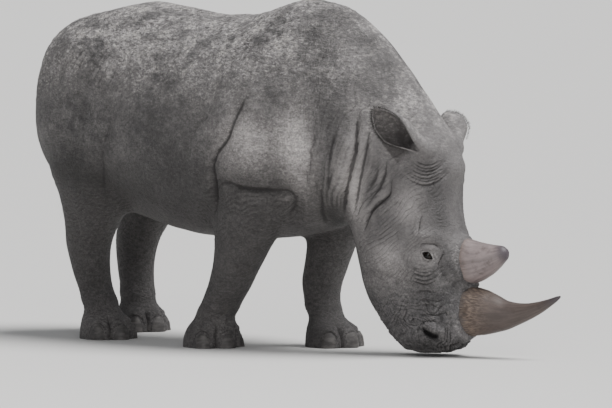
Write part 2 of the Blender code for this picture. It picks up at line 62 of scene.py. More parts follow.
# The body is one long loft from rump to lips. Each station joins a point on
# the back line to a point on the belly line, both as (x, z), then gives the
# half width, where the widest place lies from belly (0) to back (1), and how
# square the upper and the lower half are.
STATIONS = [
    # back x, z     belly x, z     half  wide  up   low
    (-1.345, 1.180, -1.330, 0.930, 0.060, 0.50, 2.0, 2.0),
    (-1.330, 1.320, -1.305, 0.800, 0.215, 0.50, 2.2, 2.1),
    (-1.285, 1.455, -1.260, 0.730, 0.320, 0.50, 2.6, 2.1),
    (-1.195, 1.555, -1.170, 0.690, 0.385, 0.48, 2.9, 2.1),
    (-1.060, 1.608, -1.050, 0.665, 0.418, 0.47, 3.0, 2.1),
    (-0.900, 1.640, -0.900, 0.650, 0.434, 0.46, 2.7, 2.1),
    (-0.740, 1.668, -0.740, 0.610, 0.442, 0.45, 2.3, 2.1),
    (-0.500, 1.645, -0.500, 0.560, 0.458, 0.44, 2.1, 2.1),
    (-0.200, 1.620, -0.200, 0.528, 0.468, 0.43, 2.1, 2.2),
    (0.050, 1.630, 0.050, 0.525, 0.455, 0.43, 2.1, 2.2),
    (0.250, 1.672, 0.250, 0.540, 0.425, 0.43, 2.0, 2.2),
    (0.420, 1.710, 0.400, 0.560, 0.395, 0.43, 2.0, 2.1),
    (0.600, 1.688, 0.510, 0.580, 0.352, 0.43, 2.0, 2.1),
    (0.760, 1.608, 0.590, 0.600, 0.312, 0.44, 2.0, 2.1),
    (0.890, 1.495, 0.640, 0.622, 0.285, 0.45, 2.0, 2.1),
    (0.990, 1.380, 0.665, 0.640, 0.262, 0.46, 2.0, 2.1),
    (1.075, 1.270, 0.685, 0.640, 0.240, 0.48, 2.1, 2.1),
    (1.168, 1.145, 0.700, 0.620, 0.212, 0.50, 2.2, 2.1),
    (1.255, 1.010, 0.715, 0.580, 0.196, 0.50, 2.4, 2.2),
    (1.278, 0.880, 0.728, 0.535, 0.190, 0.52, 2.5, 2.2),
    (1.276, 0.760, 0.740, 0.485, 0.190, 0.54, 2.5, 2.2),
    (1.288, 0.640, 0.755, 0.420, 0.192, 0.56, 2.5, 2.2),
    (1.328, 0.520, 0.775, 0.340, 0.186, 0.56, 2.5, 2.2),
    (1.340, 0.400, 0.805, 0.260, 0.168, 0.55, 2.5, 2.2),
    (1.345, 0.290, 0.850, 0.180, 0.150, 0.55, 2.6, 2.3),
    (1.348, 0.200, 0.900, 0.118, 0.142, 0.55, 2.8, 2.4),
    (1.345, 0.130, 0.945, 0.078, 0.140, 0.55, 3.0, 2.6),
    (1.325, 0.075, 0.990, 0.045, 0.132, 0.55, 3.0, 2.6),
    (1.285, 0.036, 1.035, 0.022, 0.115, 0.55, 3.0, 2.6),
    (1.225, 0.016, 1.090, 0.013, 0.075, 0.55, 2.6, 2.4),
]

# Legs, from inside the trunk to the sole: x, y, z of the middle, then the
# half length fore and aft and the half width. y is measured outward.
FORE_BACK = [  # right foreleg, placed back
    (0.300, 0.180, 1.080, 0.190, 0.120),
    (0.300, 0.225, 0.880, 0.210, 0.150),
    (0.275, 0.248, 0.720, 0.212, 0.155),
    (0.235, 0.258, 0.570, 0.180, 0.138),
    (0.190, 0.258, 0.460, 0.140, 0.122),
    (0.150, 0.256, 0.380, 0.120, 0.113),
    (0.090, 0.250, 0.285, 0.108, 0.105),
    (0.025, 0.243, 0.205, 0.100, 0.100),
    (-0.020, 0.238, 0.145, 0.104, 0.103),
    (-0.040, 0.235, 0.090, 0.124, 0.122),
    (-0.046, 0.235, 0.040, 0.138, 0.137),
    (-0.046, 0.235, -0.020, 0.140, 0.140),
]
FORE_AHEAD = [  # left foreleg, standing under the shoulder
    (0.340, 0.180, 1.080, 0.190, 0.120),
    (0.360, 0.220, 0.880, 0.200, 0.148),
    (0.365, 0.232, 0.720, 0.190, 0.150),
    (0.355, 0.230, 0.590, 0.160, 0.134),
    (0.320, 0.226, 0.480, 0.130, 0.118),
    (0.285, 0.222, 0.385, 0.112, 0.108),
    (0.258, 0.218, 0.290, 0.098, 0.098),
    (0.265, 0.216, 0.210, 0.089, 0.090),
    (0.300, 0.215, 0.145, 0.092, 0.094),
    (0.338, 0.215, 0.090, 0.124, 0.122),
    (0.354, 0.215, 0.040, 0.142, 0.138),
    (0.356, 0.215, -0.020, 0.144, 0.141),
]
HIND_AHEAD = [  # right hind leg
    (-0.930, 0.160, 1.300, 0.240, 0.120),
    (-0.915, 0.225, 1.060, 0.310, 0.170),
    (-0.890, 0.255, 0.860, 0.300, 0.170),
    (-0.885, 0.262, 0.700, 0.225, 0.148),
    (-0.915, 0.262, 0.570, 0.160, 0.120),
    (-0.945, 0.260, 0.450, 0.125, 0.102),
    (-0.935, 0.256, 0.350, 0.104, 0.092),
    (-0.895, 0.252, 0.240, 0.090, 0.087),
    (-0.860, 0.248, 0.155, 0.093, 0.092),
    (-0.836, 0.245, 0.095, 0.116, 0.114),
    (-0.826, 0.245, 0.040, 0.134, 0.128),
    (-0.826, 0.245, -0.020, 0.137, 0.131),
]
HIND_BACK = [  # left hind leg
    (-0.950, 0.160, 1.300, 0.240, 0.120),
    (-0.955, 0.225, 1.060, 0.310, 0.170),
    (-0.980, 0.252, 0.860, 0.290, 0.170),
    (-1.040, 0.262, 0.700, 0.215, 0.148),
    (-1.115, 0.262, 0.570, 0.152, 0.120),
    (-1.175, 0.260, 0.450, 0.124, 0.102),
    (-1.185, 0.256, 0.350, 0.104, 0.092),
    (-1.170, 0.252, 0.240, 0.090, 0.087),
    (-1.155, 0.248, 0.155, 0.093, 0.092),
    (-1.140, 0.245, 0.095, 0.116, 0.114),
    (-1.132, 0.245, 0.040, 0.134, 0.128),
    (-1.132, 0.245, -0.020, 0.137, 0.131),
]
LEGS = {
    "front_right": (FORE_BACK, -1),
    "front_left": (FORE_AHEAD, 1),
    "hind_right": (HIND_AHEAD, -1),
    "hind_left": (HIND_BACK, 1),
}
TAIL = [  # x, z, half length fore and aft, half width
    (-1.240, 1.330, 0.040, 0.050),
    (-1.300, 1.300, 0.034, 0.042),
    (-1.350, 1.220, 0.026, 0.032),
    (-1.372, 1.100, 0.021, 0.026),
    (-1.380, 0.960, 0.017, 0.022),
    (-1.382, 0.840, 0.014, 0.024),
    (-1.380, 0.760, 0.010, 0.018),
    (-1.379, 0.725, 0.005, 0.008),
]

# Horns: x and z along the axis, half depth and half width, in the mid plane.
HORN_FRONT = [
    (1.290, 0.225, 0.118, 0.100),
    (1.360, 0.222, 0.122, 0.104),
    (1.400, 0.220, 0.116, 0.098),
    (1.460, 0.214, 0.100, 0.082),
    (1.525, 0.210, 0.078, 0.066),
    (1.588, 0.216, 0.058, 0.052),
    (1.655, 0.230, 0.042, 0.040),
    (1.720, 0.252, 0.029, 0.028),
    (1.778, 0.278, 0.018, 0.018),
    (1.820, 0.300, 0.010, 0.010),
    (1.836, 0.309, 0.004, 0.004),
]
HORN_REAR = [
    (1.270, 0.458, 0.105, 0.085),
    (1.335, 0.460, 0.112, 0.092),
    (1.380, 0.464, 0.102, 0.084),
    (1.430, 0.474, 0.084, 0.070),
    (1.478, 0.489, 0.067, 0.057),
    (1.512, 0.502, 0.052, 0.045),
    (1.535, 0.511, 0.038, 0.034),
    (1.547, 0.516, 0.018, 0.017),
]

# Toes: which way each points, in degrees outward from straight ahead, and the
# half width of its nail. Then the nail from the floor up: height, share of the
# width, how far it stands proud of the toe.
TOES = {"outer": (62.0, 0.050), "middle": (4.0, 0.062), "inner": (-54.0, 0.046)}
NAIL = [(0.000, 1.00, 0.024), (0.028, 0.98, 0.021), (0.054, 0.80, 0.012), (0.074, 0.34, 0.000)]
NAIL_THICK = 0.022
NAIL_LIFT = 0.001  # clear of the floor
HIND_NAIL = 0.92  # the hind nails are this much narrower

EYE_AT = (1.200, 0.160, 0.492)
EYE_RADIUS = 0.024
EYE_SLIT = (0.0280, 0.0180)  # half length and half height of the opening between the lids
EAR_BASE = (1.175, 0.150, 1.005)
EAR_TIPS = {-1: (1.010, 0.362, 1.192), 1: (1.010, 0.372, 1.142)}  # right, left
EAR_FACING = np.array((0.05, 0.90, -0.30))  # the way the cup of the left ear opens

# Soft masses over the bones: where, how far they reach, how high they stand.
MASSES = [
    # x      y      z      rx    ry    rz    height
    (0.330, 0.360, 1.120, 0.17, 0.20, 0.26, 0.022),  # shoulder blade
    (0.330, 0.360, 0.850, 0.16, 0.20, 0.16, 0.020),  # upper arm
    (-0.850, 0.370, 1.430, 0.20, 0.16, 0.14, 0.018),  # point of the hip
    (-0.980, 0.400, 1.050, 0.26, 0.20, 0.26, 0.020),  # thigh
    (-0.350, 0.400, 0.800, 0.40, 0.20, 0.22, 0.014),  # barrel
    (1.190, 0.175, 0.560, 0.07, 0.07, 0.05, 0.010),  # brow
    (0.900, 0.180, 0.500, 0.12, 0.10, 0.12, 0.016),  # cheek
    (1.200, 0.150, 0.130, 0.06, 0.08, 0.05, 0.012),  # nostril wing
    (1.230, 0.090, 1.040, 0.08, 0.07, 0.08, 0.014),  # poll beside the ear
]


# ---------------------------------------------------------------- shaping
def smooth_between(keys, table, at):
    """Each column of table at the given places, curving smoothly and never overshooting a key."""
    keys, table = np.asarray(keys, float), np.asarray(table, float)
    step = np.diff(keys)[:, None]
    slope = np.diff(table, axis=0) / step
    lean = np.zeros_like(table)
    lean[0], lean[-1] = slope[0], slope[-1]
    before, after = slope[:-1], slope[1:]
    w1, w2 = 2 * step[1:] + step[:-1], step[1:] + 2 * step[:-1]
    same = before * after > 0
    safe = np.where(same, before * after, 1.0)
    lean[1:-1] = np.where(same, (w1 + w2) * safe / (w1 * after + w2 * before + 1e-30), 0.0)
    i = np.clip(np.searchsorted(keys, at, side="right") - 1, 0, len(keys) - 2)
    t = ((at - keys[i]) / (keys[i + 1] - keys[i]))[:, None]
    h = (keys[i + 1] - keys[i])[:, None]
    return (
        (1 + 2 * t) * (1 - t) ** 2 * table[i]
        + t * (1 - t) ** 2 * h * lean[i]
        + t * t * (3 - 2 * t) * table[i + 1]
        + t * t * (t - 1) * h * lean[i + 1]
    )


def refine(table, middle, count):
    """The table at count stations spread evenly along the middle line."""
    table = np.asarray(table, float)
    steps = np.linalg.norm(np.diff(table[:, middle], axis=0), axis=1)
    path = np.concatenate([[0], np.cumsum(steps)])
    return smooth_between(path, table, np.linspace(0, path[-1], count))


def loft(rings):
    """Points and faces of a closed body through rings of equal count, with a point at each end."""
    rings = np.asarray(rings, float)
    rows, n, _ = rings.shape
    points = np.concatenate([rings.reshape(-1, 3), rings[:1].mean(1), rings[-1:].mean(1)])
    faces = []
    for r in range(rows - 1):
        a, b = r * n, (r + 1) * n
        faces += [(a + i, a + (i + 1) % n, b + (i + 1) % n, b + i) for i in range(n)]
    first, last = rows * n, rows * n + 1
    faces += [((i + 1) % n, i, first) for i in range(n)]
    faces += [((rows - 1) * n + i, (rows - 1) * n + (i + 1) % n, last) for i in range(n)]
    return points, faces


def full_turn(n):
    return np.linspace(0, 2 * np.pi, n, endpoint=False)


def body_stations(count):
    """Stations spread evenly along the body, each with the x and z of its middle in two more columns."""
    rows = np.array(STATIONS)
    rows = np.column_stack([rows, (rows[:, 0:2] + rows[:, 2:4]) / 2])
    return refine(rows, slice(8, 10), count)


def body_rings(count=120, n=72):
    turn = full_turn(n)
    c, s = np.cos(turn), np.sin(turn)
    rings = []
    for tx, tz, bx, bz, wide, k, up, low, _, _ in body_stations(count):
        square = np.where(c > 0, up, low)
        reach = np.abs(c) ** (2 / square)
        along = np.where(c > 0, k + (1 - k) * reach, k - k * reach)
        side = np.sign(s) * wide * np.abs(s) ** (2 / square)
        rings.append(np.column_stack([bx + (tx - bx) * along, side, bz + (tz - bz) * along]))
    return rings


def leg_rings(table, side, count=40, n=40):
    rows = refine(table, slice(0, 3), count)
    turn = full_turn(n)
    return [
        np.column_stack([x + rx * np.cos(turn), side * y + ry * np.sin(turn), np.full(n, z)])
        for x, y, z, rx, ry in rows
    ]


def curve_rings(table, count=24, n=24):
    """Rings square to a curve in the mid plane: rows of x, z, half depth, half width."""
    rows = refine(table, slice(0, 2), count)
    run = np.gradient(rows[:, 0:2], axis=0)
    run /= np.linalg.norm(run, axis=1)[:, None]
    turn = full_turn(n)
    rings = []
    for (x, z, deep, wide), (dx, dz) in zip(rows, run):
        lift = deep * np.cos(turn)
        rings.append(np.column_stack([x - dz * lift, wide * np.sin(turn), z + dx * lift]))
    return rings


def bend(p):
    """Turns everything ahead of the shoulders to the left, as one smooth bend of the neck."""
    p = np.array(p, float)
    rate = HEAD_TURN / (BEND_TO - BEND_FROM)
    s = np.clip(p[:, 0], BEND_FROM, BEND_TO) - BEND_FROM
    angle = s * rate
    over = np.maximum(p[:, 0] - BEND_TO, 0)
    x = np.minimum(p[:, 0], BEND_FROM) + np.sin(angle) / rate + over * np.cos(angle)
    y = (1 - np.cos(angle)) / rate + over * np.sin(angle)
    return np.column_stack([x - p[:, 1] * np.sin(angle), y + p[:, 1] * np.cos(angle), p[:, 2]])


def placement():
    """How far the frame was moved so that its origin is under the middle of its box."""
    tip = bend(np.concatenate(curve_rings(HORN_FRONT, 15, 16))).max(0)
    _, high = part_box("horn_front")
    return np.array([high[0] - tip[0], high[1] - tip[1], 0.0])


# ---------------------------------------------------------------- noise
def cell_number(i, j, k, seed):
    """A repeatable number from 0 to 1 for each cell of a lattice."""
    n = i * 73856093 ^ j * 19349663 ^ k * 83492791 ^ (seed * 2654435761 & 0x7FFFFFFF)
    n = (n ^ (n >> 13)) * 1274126177 & 0x7FFFFFFF
    n = (n ^ (n >> 16)) * 668265263 & 0x7FFFFFFF
    return (n & 0xFFFFF) / 0xFFFFF


def noise(p, size, seed=0, octaves=1):
    """Smooth lumps between -1 and 1, of about the given size in metres."""
    total, weight, sum_of = np.zeros(len(p)), 1.0, 0.0
    for octave in range(octaves):
        q = p / size * 2**octave + 37.7 * octave
        cell = np.floor(q).astype(np.int64)
        f = q - cell
        f = f * f * (3 - 2 * f)
        value = 0
        for corner in itertools.product((0, 1), repeat=3):
            near = np.where(corner, f, 1 - f)
            share = near[:, 0] * near[:, 1] * near[:, 2]
            value = value + share * cell_number(*(cell + corner).T, seed + octave)
        total += weight * (value * 2 - 1)
        sum_of += weight
        weight *= 0.5
    return total / sum_of


def step_up(x, low, high):
    """0 below low, 1 above high, smooth between. low may be the larger."""
    t = np.clip((x - low) / (high - low), 0, 1)
    return t * t * (3 - 2 * t)


def bell(x, middle, width):
    """1 at the middle, falling to a third one width away."""
    return np.exp(-(((x - middle) / width) ** 2))


def blob(p, at, reach, mirrored=True):
    """1 at a place, fading to 0 about reach away, on both sides of the animal if mirrored."""
    q = np.column_stack([p[:, 0], np.abs(p[:, 1]) if mirrored else p[:, 1], p[:, 2]])
    return np.exp(-(((q - at) / reach) ** 2).sum(1))


def blobs(p, table):
    """The sum of a table of places: how strong each is, where, and how far it reaches."""
    return sum(strength * blob(p, at, reach) for strength, at, reach in table)


# ---------------------------------------------------------------- meshes
def link(name, data):
    """A new object in the scene."""
    obj = bpy.data.objects.new(name, data)
    bpy.context.scene.collection.objects.link(obj)
    return obj


@contextlib.contextmanager
def editing(mesh):
    """Opens the mesh for editing, and writes it back at the end."""
    out = bmesh.new()
    out.from_mesh(mesh)
    yield out
    out.to_mesh(mesh)
    out.free()


def new_object(name, points, faces):
    mesh = bpy.data.meshes.new(name)
    mesh.from_pydata(np.asarray(points, float).tolist(), [], [tuple(f) for f in faces])
    with editing(mesh) as out:
        bmesh.ops.recalc_face_normals(out, faces=out.faces[:])
    return link(name, mesh)


def points_of(obj):
    points = np.empty(len(obj.data.vertices) * 3)
    obj.data.vertices.foreach_get("co", points)
    return points.reshape(-1, 3)


def set_points(obj, points):
    obj.data.vertices.foreach_set("co", np.asarray(points, float).ravel())
    obj.data.update()


def normals_of(obj):
    normals = np.empty(len(obj.data.vertices) * 3)
    obj.data.vertices.foreach_get("normal", normals)
    return normals.reshape(-1, 3)


def unit(v):
    return v / np.linalg.norm(v)


def settle(obj):
    """Applies every modifier."""
    bpy.context.view_layer.update()
    graph = bpy.context.evaluated_depsgraph_get()
    mesh = bpy.data.meshes.new_from_object(obj.evaluated_get(graph))
    obj.modifiers.clear()
    mesh.materials.clear()
    old, obj.data = obj.data, mesh
    bpy.data.meshes.remove(old)


def join(pieces):
    points, faces, start = [], [], 0
    for p, f in pieces:
        points.append(p)
        faces += [tuple(i + start for i in face) for face in f]
        start += len(p)
    return np.concatenate(points), faces


def net_of(obj):
    """The two ends of every edge, and how many edges meet at each point."""
    edges = np.empty(len(obj.data.edges) * 2, np.int32)
    obj.data.edges.foreach_get("vertices", edges)
    a, b = edges.reshape(-1, 2).T
    size = len(obj.data.vertices)
    return a, b, np.bincount(a, minlength=size) + np.bincount(b, minlength=size)


def mean_of_neighbours(points, net):
    a, b, count = net
    size = len(points)
    total = [np.bincount(a, points[b, k], size) + np.bincount(b, points[a, k], size) for k in range(3)]
    return np.column_stack(total) / count[:, None]


def soften(obj, rounds, hollow, ridge, where=None):
    """Smooths the mesh: hollow is how fast dents fill, ridge how fast bulges sink, where a weight."""
    points, net = points_of(obj), net_of(obj)
    weight = 1.0 if where is None else where[:, None]
    for _ in range(rounds):
        pull = mean_of_neighbours(points, net) - points
        outward = (pull * normals_of(obj)).sum(1)
        points = points + pull * weight * np.where(outward > 0, hollow, ridge)[:, None]
        set_points(obj, points)


def shade_smooth(obj):
    obj.data.polygons.foreach_set("use_smooth", np.ones(len(obj.data.polygons), bool))


def raise_masses(obj):
    points, normals = points_of(obj), normals_of(obj)
    lift = np.zeros(len(points))
    for x, y, z, rx, ry, rz, high in MASSES:
        for side in (-1, 1):
            away = ((points - (x, side * y, z)) / (rx, ry, rz)) ** 2
            lift += high * np.exp(-1.4 * away.sum(1))
    set_points(obj, points + normals * lift[:, None])


def on_side(at, side):
    """A place or a path that is given for the left, moved to the given side."""
    return np.array(at, float) * (1, side, 1)


def shell_faces(rows, n):
    """The faces of a thick sheet: an outer and an inner grid of points, joined along their four edges."""
    shift, faces = rows * n, []
    for r in range(rows - 1):
        for i in range(n - 1):
            a, b = r * n + i, (r + 1) * n + i
            faces.append((a, a + 1, b + 1, b))
            faces.append((shift + a + 1, shift + a, shift + b, shift + b + 1))
        for i in (0, n - 1):
            a, b = r * n + i, (r + 1) * n + i
            faces.append((a, b, shift + b, shift + a))
    for i in range(n - 1):
        for r in (0, rows - 1):
            a = r * n + i
            faces.append((a, a + 1, shift + a + 1, shift + a))
    return faces


def ear_shell(side, count=27, n=33):
    """A rolled ear: a closed tube at the root that opens to a wide pointed cup."""
    root, tip = np.array(EAR_BASE), np.array(EAR_TIPS[side])
    long = np.linalg.norm(tip - root)
    along = (tip - root) / long
    facing = unit(EAR_FACING - along * (EAR_FACING @ along))
    across = np.cross(along, facing)
    rows = np.array([
        # along, radius, half opening left closed (degrees), set back
        (-0.10, 0.046, 178.0, 0.000),
        (0.12, 0.047, 176.0, -0.002),
        (0.28, 0.056, 152.0, -0.006),
        (0.42, 0.069, 128.0, -0.014),
        (0.58, 0.079, 106.0, -0.022),
        (0.74, 0.074, 90.0, -0.020),
        (0.87, 0.054, 78.0, -0.010),
        (0.96, 0.028, 68.0, 0.006),
        (1.00, 0.008, 60.0, 0.016),
    ])
    rows = smooth_between(rows[:, 0], rows, np.linspace(-0.10, 1.0, count))
    outer, inner = [], []
    for t, radius, closed, back in rows:
        turn = np.radians(np.linspace(-closed, closed, n))
        middle = root + along * long * t - facing * back
        for ring, r in ((outer, radius), (inner, max(radius - SKIN_EAR, radius * 0.45))):
            ring.append(middle - facing * np.cos(turn)[:, None] * r + across * np.sin(turn)[:, None] * r)
    points = np.concatenate([np.array(outer).reshape(-1, 3), np.array(inner).reshape(-1, 3)])
    points[:, 1] *= side
    return points, shell_faces(count, n)


def ear_ends(side):
    """The root and the tip of an ear's axis."""
    return on_side(EAR_BASE, side), on_side(EAR_TIPS[side], side)


def ear_parts(p, side):
    """Each point's place along the ear from root 0 to tip 1, and how far it is from the ear's axis."""
    root, tip = ear_ends(side)
    run = tip - root
    t = (p - root) @ run / (run @ run)
    return t, np.linalg.norm(p - root - t[:, None] * run, axis=1)


def near_ear(p, side, far, reach=0.14):
    """Which points are on an ear and not on the neck beside it; far is their distance from the ear's axis."""
    return (far < reach) & (p[:, 1] * side > 0.17)


def ear_root(side):
    """The solid foot of an ear, which closes the rolled tube from inside."""
    root, tip = ear_ends(side)
    run = tip - root
    along = unit(run)
    across = unit(np.cross(along, (0.0, 0.0, 1.0)))
    third = np.cross(along, across)
    turn = full_turn(32)[:, None]
    ring = np.cos(turn) * across + np.sin(turn) * third
    # how far along the ear each ring lies, and its radius
    profile = [(-0.16, 0.040), (0.00, 0.0435), (0.08, 0.0430), (0.15, 0.038), (0.19, 0.026), (0.21, 0.010)]
    return loft([root + run * t + r * ring for t, r in profile])


def refine_near(obj, chosen):
    """Splits the faces whose middle passes chosen(points)."""
    with editing(obj.data) as out:
        middles = np.array([f.calc_center_median() for f in out.faces])
        out.faces.ensure_lookup_table()
        picked = [out.faces[int(i)] for i in np.nonzero(chosen(middles))[0]]
        edges = {edge for face in picked for edge in face.edges}
        bmesh.ops.subdivide_edges(out, edges=list(edges), cuts=1, use_grid_fill=True)


def flat_soles(obj):
    """Cuts the feet off level with the floor."""
    with editing(obj.data) as out:
        cut = bmesh.ops.bisect_plane(
            out, geom=out.verts[:] + out.edges[:] + out.faces[:], dist=1e-6,
            plane_co=(0, 0, 0), plane_no=(0, 0, -1), clear_outer=True, clear_inner=False,
        )
        rim = [g for g in cut["geom_cut"] if isinstance(g, bmesh.types.BMEdge) and g.is_boundary]
        bmesh.ops.edgenet_fill(out, edges=rim)


def split_wide_faces(obj):
    """Cuts faces with many corners, such as the soles, into triangles."""
    with editing(obj.data) as out:
        bmesh.ops.triangulate(out, faces=[face for face in out.faces if len(face.verts) > 8])


def head_region(p):
    """Where the head's fine detail is: muzzle, face and ear roots."""
    return (p[:, 0] > 0.86 + 0.55 * np.clip(p[:, 2] - 0.55, 0, 1)) & (p[:, 2] < 1.12)


def foot_region(p):
    return p[:, 2] < 0.17


def eye_region(p):
    return blob(p, EYE_AT, (0.075, 0.10, 0.075)) > 0.37


def add_ears(obj):
    """Unites the body with both ears and smooths the joints."""
    for side in (-1, 1):
        ear = new_object("ear", *ear_shell(side))
        union = obj.modifiers.new("ear", "BOOLEAN")
        union.operation = "UNION"
        union.solver = "MANIFOLD"
        union.object = ear
        settle(obj)
        bpy.data.objects.remove(ear, do_unlink=True)
    points = points_of(obj)
    at_root = np.zeros(len(points))
    for side in (-1, 1):
        t, far = ear_parts(points, side)
        near = (far < 0.15) & (points[:, 1] * side > 0.02)
        at_root = np.maximum(at_root, step_up(t, 0.62, 0.30) * step_up(t, -0.75, -0.35) * near)
    soften(obj, 14, 0.5, 0.35, at_root)


def flesh():
    """The whole body in one closed skin, before its folds, with the neck still straight."""
    pieces = [loft(body_rings())]
    pieces += [loft(leg_rings(table, side)) for table, side in LEGS.values()]
    pieces.append(loft(curve_rings(TAIL, 60, 24)))
    pieces += [ear_root(side) for side in (-1, 1)]
    obj = new_object("skin", *join(pieces))
    remesh = obj.modifiers.new("remesh", "REMESH")
    remesh.mode = "VOXEL"
    remesh.voxel_size = VOXEL
    settle(obj)
    soften(obj, 60, 0.5, 0.02)
    raise_masses(obj)
    soften(obj, 6, 0.4, 0.4)
    flat_soles(obj)
    add_ears(obj)
    for region in (head_region, foot_region, eye_region):
        refine_near(obj, region)
    split_wide_faces(obj)
    fine = obj.modifiers.new("fine", "SUBSURF")
    fine.levels = fine.render_levels = 1
    settle(obj)
    return obj


# ---------------------------------------------------------------- folds
# Each fold is a groove along a path on the skin, given for one side with y
# outward: half width of the groove, its depth, how high the skin swells beside
# it, how far that swelling reaches, how much the skin hangs over the groove.
FOLDS = [
    # behind the shoulder
    (0.019, 0.025, 0.012, 0.080, 0.010, [
        (0.400, 0.420, 1.290), (0.326, 0.429, 1.130), (0.281, 0.437, 1.043), (0.200, 0.440, 0.957),
        (0.175, 0.435, 0.893), (0.170, 0.416, 0.818), (0.149, 0.391, 0.740), (0.120, 0.350, 0.630)]),
    # over the top of the foreleg
    (0.017, 0.026, 0.007, 0.060, 0.006, [
        (0.178, 0.403, 0.780), (0.254, 0.414, 0.820), (0.363, 0.401, 0.798), (0.444, 0.357, 0.789),
        (0.533, 0.292, 0.779), (0.550, 0.270, 0.750), (0.525, 0.247, 0.700), (0.463, 0.214, 0.633)]),
    # chest in front of the foreleg
    (0.018, 0.013, 0.008, 0.044, 0.004, [
        (0.700, 0.262, 0.850), (0.688, 0.255, 0.810), (0.645, 0.190, 0.700), (0.600, 0.100, 0.625),
        (0.580, 0.020, 0.600)]),
    # long hanging folds of the neck
    (0.015, 0.024, 0.026, 0.055, 0.012, [
        (0.875, 0.250, 1.230), (0.855, 0.252, 1.120), (0.843, 0.253, 0.978), (0.806, 0.237, 0.863),
        (0.758, 0.187, 0.742), (0.712, 0.094, 0.642)]),
    (0.012, 0.011, 0.012, 0.034, 0.004, [
        (0.930, 0.220, 1.180), (0.915, 0.232, 1.080), (0.900, 0.239, 0.990), (0.858, 0.220, 0.851),
        (0.816, 0.181, 0.729), (0.780, 0.120, 0.640)]),
    (0.014, 0.011, 0.012, 0.040, 0.003, [
        (0.785, 0.280, 1.180), (0.752, 0.283, 0.997), (0.717, 0.256, 0.848), (0.661, 0.202, 0.724)]),
    # throat behind the cheek
    (0.008, 0.020, 0.012, 0.026, 0.005, [
        (1.022, 0.198, 0.880), (1.008, 0.196, 0.795), (0.945, 0.192, 0.737), (0.896, 0.184, 0.697),
        (0.862, 0.171, 0.633), (0.835, 0.150, 0.575)]),
    (0.006, 0.008, 0.005, 0.018, 0.000, [
        (1.000, 0.205, 0.980), (0.990, 0.203, 0.900), (0.960, 0.200, 0.820), (0.910, 0.190, 0.760),
        (0.860, 0.178, 0.690)]),
    # in front of the thigh, and behind it
    (0.024, 0.011, 0.005, 0.070, 0.004, [
        (-0.560, 0.440, 1.120), (-0.640, 0.435, 0.960), (-0.670, 0.420, 0.850), (-0.690, 0.390, 0.750),
        (-0.700, 0.330, 0.660)]),
    (0.011, 0.010, 0.005, 0.040, 0.002, [
        (-1.330, 0.110, 1.150), (-1.340, 0.190, 1.010), (-1.310, 0.260, 0.880), (-1.240, 0.330, 0.760)]),
    # from the eye up the brow, and over the eye
    (0.005, 0.005, 0.003, 0.014, 0.000, [
        (1.176, 0.168, 0.700), (1.162, 0.175, 0.651), (1.159, 0.187, 0.585)]),
    (0.0060, 0.010, 0.005, 0.014, 0.003, [
        (1.165, 0.185, 0.548), (1.189, 0.183, 0.552), (1.231, 0.163, 0.548), (1.262, 0.140, 0.528)]),
    # round the nostril
    (0.005, 0.008, 0.005, 0.012, 0.000, [
        (1.128, 0.146, 0.105), (1.135, 0.148, 0.140), (1.160, 0.150, 0.170), (1.205, 0.148, 0.180),
        (1.250, 0.136, 0.165)]),
    (0.007, 0.010, 0.005, 0.016, 0.000, [
        (1.270, 0.125, 0.240), (1.290, 0.118, 0.200), (1.298, 0.112, 0.165), (1.290, 0.112, 0.125)]),
    # mouth
    (0.0060, 0.015, 0.006, 0.014, 0.003, [
        (1.030, 0.115, 0.066), (1.070, 0.108, 0.046), (1.124, 0.105, 0.036), (1.190, 0.108, 0.040),
        (1.245, 0.104, 0.047), (1.300, 0.072, 0.056), (1.325, 0.034, 0.062), (1.332, 0.000, 0.064)]),
]

